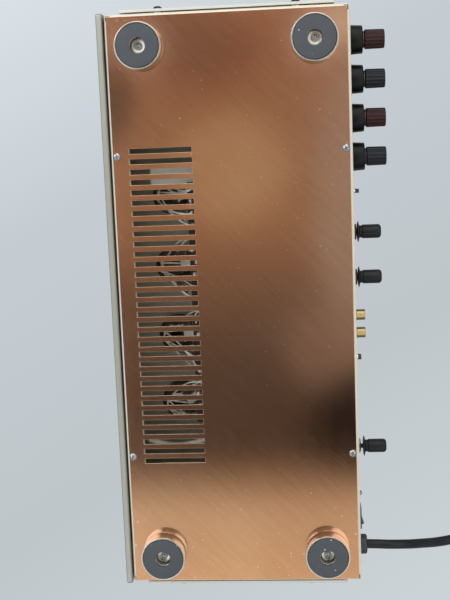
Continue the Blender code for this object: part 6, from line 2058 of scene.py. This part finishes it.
def fading_sheet(name, colour, centre, fade):
    """Matt paper, clear from behind, that thins out with distance from its middle and carries a painted
    contact shadow where the object stands close above it.
    """
    material, tree, shader = surface(name)
    # Ambient occlusion darkens the paper near the object: a painted contact shadow
    near = add(tree, "ShaderNodeAmbientOcclusion", {"Color": linear(colour), "Distance": CONTACT_SHADOW_REACH})
    feed(tree, shader, {"Base Color": near, "Roughness": 0.8, "Specular IOR Level": 0.2})
    where = add(tree, "ShaderNodeTexCoord").outputs["Object"]
    away = add(tree, "ShaderNodeVectorMath", {0: where, 1: centre}, operation="DISTANCE")
    ramp = {"Value": away, "From Min": fade[0], "From Max": fade[1]}
    thin = add(tree, "ShaderNodeMapRange", ramp, interpolation_type="SMOOTHSTEP")
    back = add(tree, "ShaderNodeNewGeometry").outputs["Backfacing"]
    gone = add(tree, "ShaderNodeMath", {0: thin, 1: back}, operation="MAXIMUM")
    clear = add(tree, "ShaderNodeBsdfTransparent")
    both = add(tree, "ShaderNodeMixShader", {0: gone, 1: shader, 2: clear})
    feed(tree, tree.nodes["Material Output"], {"Surface": both})
    return material


def only_seen(obj):
    obj.visible_diffuse = False
    obj.visible_glossy = False
    obj.visible_shadow = False
    obj.visible_volume_scatter = False


around = ((-1, -1), (1, -1), (1, 1), (-1, 1))
floor_paper = fading_sheet("pale_floor", "#b3b8bb", (0, 0, 0), FLOOR_FADE)
floor = [(sx * FLOOR_HALF, sy * FLOOR_HALF, -FLOOR_DROP) for sx, sy in around]
only_seen(flat_sheet("floor", floor, floor_paper))

# The room that the plate mirrors, by place on the plate: a warm shade above, dusk in the middle
# and a bright table below. Then soft patches, by middle, reach and slant on the plate, and a glow
# at each foot that only the foot's own face can mirror
CARD_Z = EYE.z - 6 * MM
CARD_ENDS = 0.25
CARD_FRONT = -0.125
CARD_REAR = 0.135
ROOM_SHADES = (
    (-0.21, "#d8d2ba"),
    (-0.16, "#cdcab8"),
    (-0.136, "#8e8679"),
    (-0.115, "#4b4743"),
    (-0.04, "#5a5652"),
    (0.0, "#6f675f"),
    (0.06, "#96836f"),
    (0.21, "#998474"),
)
PATCHES = (
    ("pale_window", (0.104, -0.012), (0.042, 0.045), 0.3, "#b8b09a", 0.75),
    ("rear_haze", (0.070, 0.080), (0.115, 0.030), 0.0, "#a2a6a8", 0.85),
    ("middle_haze", (-0.030, 0.058), (0.036, 0.034), 0.6, "#8d8782", 0.7),
    ("dark_figure", (-0.086, 0.100), (0.042, 0.064), -0.4, "#07090e", 1.0),
    ("front_dusk", (0.152, -0.102), (0.036, 0.020), 0.2, "#2f2d2c", 0.9),
    ("front_shade", (-0.045, -0.104), (0.090, 0.022), 0.0, "#4b4039", 0.8),
    ("upper_shade", (0.200, -0.040), (0.030, 0.050), 0.3, "#6f5f58", 0.7),
    ("bright_corner", (0.205, 0.070), (0.014, 0.024), 0.0, "#d8e0e0", 0.9),
)
FOOT_GLOW = (17 * MM, 17 * MM)
PATCH_FADE = {"From Min": 1.3, "From Max": 0.6}


def mirrored_room():
    """An emitting card with soft patches, each placed where the plate mirrors it."""
    material, tree, shader = surface("mirrored_room")
    tree.nodes.remove(shader)
    where = add(tree, "ShaderNodeTexCoord").outputs["Object"]
    spots = add(tree, "ShaderNodeSeparateXYZ", {0: where}).outputs
    ends = {"From Min": -2 * CARD_ENDS - EYE.x, "From Max": 2 * CARD_ENDS - EYE.x}
    along = add(tree, "ShaderNodeMapRange", {"Value": spots["X"], **ends})
    shades = add(tree, "ShaderNodeValToRGB", {"Fac": along})
    stops = shades.color_ramp.elements
    while len(stops) < len(ROOM_SHADES):
        stops.new(0.5)
    for stop, (place, shade) in zip(stops, ROOM_SHADES):
        stop.position = (place + CARD_ENDS) / 2 / CARD_ENDS
        stop.color = linear(shade)
    colour = shades.outputs["Color"]
    glows = [("foot_glow", middle(f"foot_{c}").xy, FOOT_GLOW, 0.0, "#c4c6c6", 1.0) for c in CORNERS]
    for _, centre, reach, slant, shade, strength in [*PATCHES, *glows]:
        held = {
            "Vector": where,
            "Location": (2 * centre[0] - EYE.x, 2 * centre[1] - EYE.y, CARD_Z),
            "Rotation": (0, 0, slant),
            "Scale": (2 * reach[0], 2 * reach[1], 1),
        }
        offset = add(tree, "ShaderNodeMapping", held, vector_type="TEXTURE")
        ball = add(tree, "ShaderNodeVectorMath", {0: offset}, operation="LENGTH")
        ramp = {"Value": ball, **PATCH_FADE, "To Max": strength}
        soft = add(tree, "ShaderNodeMapRange", ramp, interpolation_type="SMOOTHSTEP")
        mixed = {"Factor": soft, "A": colour, "B": linear(shade)}
        colour = add(tree, "ShaderNodeMix", mixed, data_type="RGBA")
    glow = add(tree, "ShaderNodeEmission", {"Color": colour, "Strength": 1.0})
    feed(tree, tree.nodes["Material Output"], {"Surface": glow})
    return material


card_sides = []
for sx, sy in around:
    card_x = CARD_ENDS if sx > 0 else -CARD_ENDS
    card_y = CARD_REAR if sy > 0 else CARD_FRONT
    card_sides.append((2 * card_x - EYE.x, 2 * card_y - EYE.y, CARD_Z))
card = flat_sheet("mirrored_card", card_sides, mirrored_room())
card.visible_camera = False
card.visible_diffuse = False
card.visible_shadow = False
card.visible_transmission = False

LAMPS = (
    ("ceiling_of_photo", (1.5, 0.1, -0.55), 1.2, 9, "#ffffff", True),
    ("window_of_photo", (0.9, -1.2, -0.9), 0.7, 7, "#f4f7ff", True),
    ("fill_below", (-0.1, -0.5, -1.4), 1.4, 12, "#eef4ff", False),
    ("key_above", (0.9, -1.3, 1.7), 1.2, 42, "#ffffff", False),
    ("rear_below", (0.3, 1.2, -0.8), 0.9, 7, "#fff4e2", False),
    ("rear_above", (-1.1, 1.2, 1.4), 1.4, 22, "#ffffff", False),
)
for name, place, width, power, colour, mirrored in LAMPS:
    light = bpy.data.lights.new(name, "AREA")
    light.size = width
    light.energy = power
    light.color = linear(colour)[:3]
    lamp = bpy.data.objects.new(name, light)
    lamp.location = place
    lamp.rotation_euler = (-Vector(place)).to_track_quat("-Z", "Y").to_euler()
    lamp.visible_glossy = mirrored
    bpy.context.scene.collection.objects.link(lamp)

# The room: shades up the photograph's backdrop for the camera, one pale shade for lighting, and
# brighter windows below that glossy surfaces mirror
BACKDROP_RISE = (1, -0.5, 0)
BACKDROP_RANGE = {"From Min": -0.5, "From Max": 0.3}
BACKDROP_STOPS = (0.35, 0.7)
WINDOW_RANGE = {"From Min": -0.4, "From Max": -0.75}
world = bpy.data.worlds.new("room")
bpy.context.scene.world = world
world.use_nodes = True
room = world.node_tree
background = room.nodes["Background"]
ray = add(room, "ShaderNodeLightPath")
direction = add(room, "ShaderNodeTexCoord").outputs["Generated"]
rise = add(room, "ShaderNodeVectorMath", {0: direction, 1: BACKDROP_RISE}, operation="DOT_PRODUCT")
height = add(room, "ShaderNodeMapRange", {"Value": rise, **BACKDROP_RANGE})
backdrop = add(room, "ShaderNodeValToRGB", {"Fac": height})
stops = backdrop.color_ramp.elements
for position in BACKDROP_STOPS:
    stops.new(position)
for stop, shade in zip(stops, ("#cdd4d7", "#bfc6ca", "#c5ccd2", "#dbe2e8")):
    stop.color = linear(shade)
depth = add(room, "ShaderNodeSeparateXYZ", {0: direction}).outputs["Z"]
below = add(room, "ShaderNodeMapRange", {"Value": depth, **WINDOW_RANGE})
glossy = {0: below, 1: ray.outputs["Is Glossy Ray"]}
windows = add(room, "ShaderNodeMath", glossy, operation="MULTIPLY")
room_light = {"Factor": windows, "A": linear("#b4b8bc"), "B": linear("#ffffff")}
unseen = add(room, "ShaderNodeMix", room_light, data_type="RGBA")
lit = {"Factor": ray.outputs["Is Camera Ray"], "A": unseen, "B": backdrop.outputs["Color"]}
seen = add(room, "ShaderNodeMix", lit, data_type="RGBA")
strong = add(room, "ShaderNodeMath", {0: windows, 1: 1.0}, operation="ADD")
feed(room, background, {"Color": seen, "Strength": strong})

camera = bpy.data.objects.new("camera", bpy.data.cameras.new("camera"))
camera.data.lens = LENS
camera.data.sensor_width = SENSOR
camera.data.clip_start = 0.01
forward = (AIM - EYE).normalized()
up = (Vector((1, 0, 0)) - forward * forward.x).normalized()
side = forward.cross(up)
up = up * math.cos(ROLL) + side * math.sin(ROLL)
side = forward.cross(up)
axes = Matrix((side, up, -forward)).transposed().to_4x4()
camera.matrix_world = at(*EYE) @ axes
bpy.context.scene.collection.objects.link(camera)
bpy.context.scene.camera = camera
bpy.context.scene.view_settings.view_transform = "Standard"
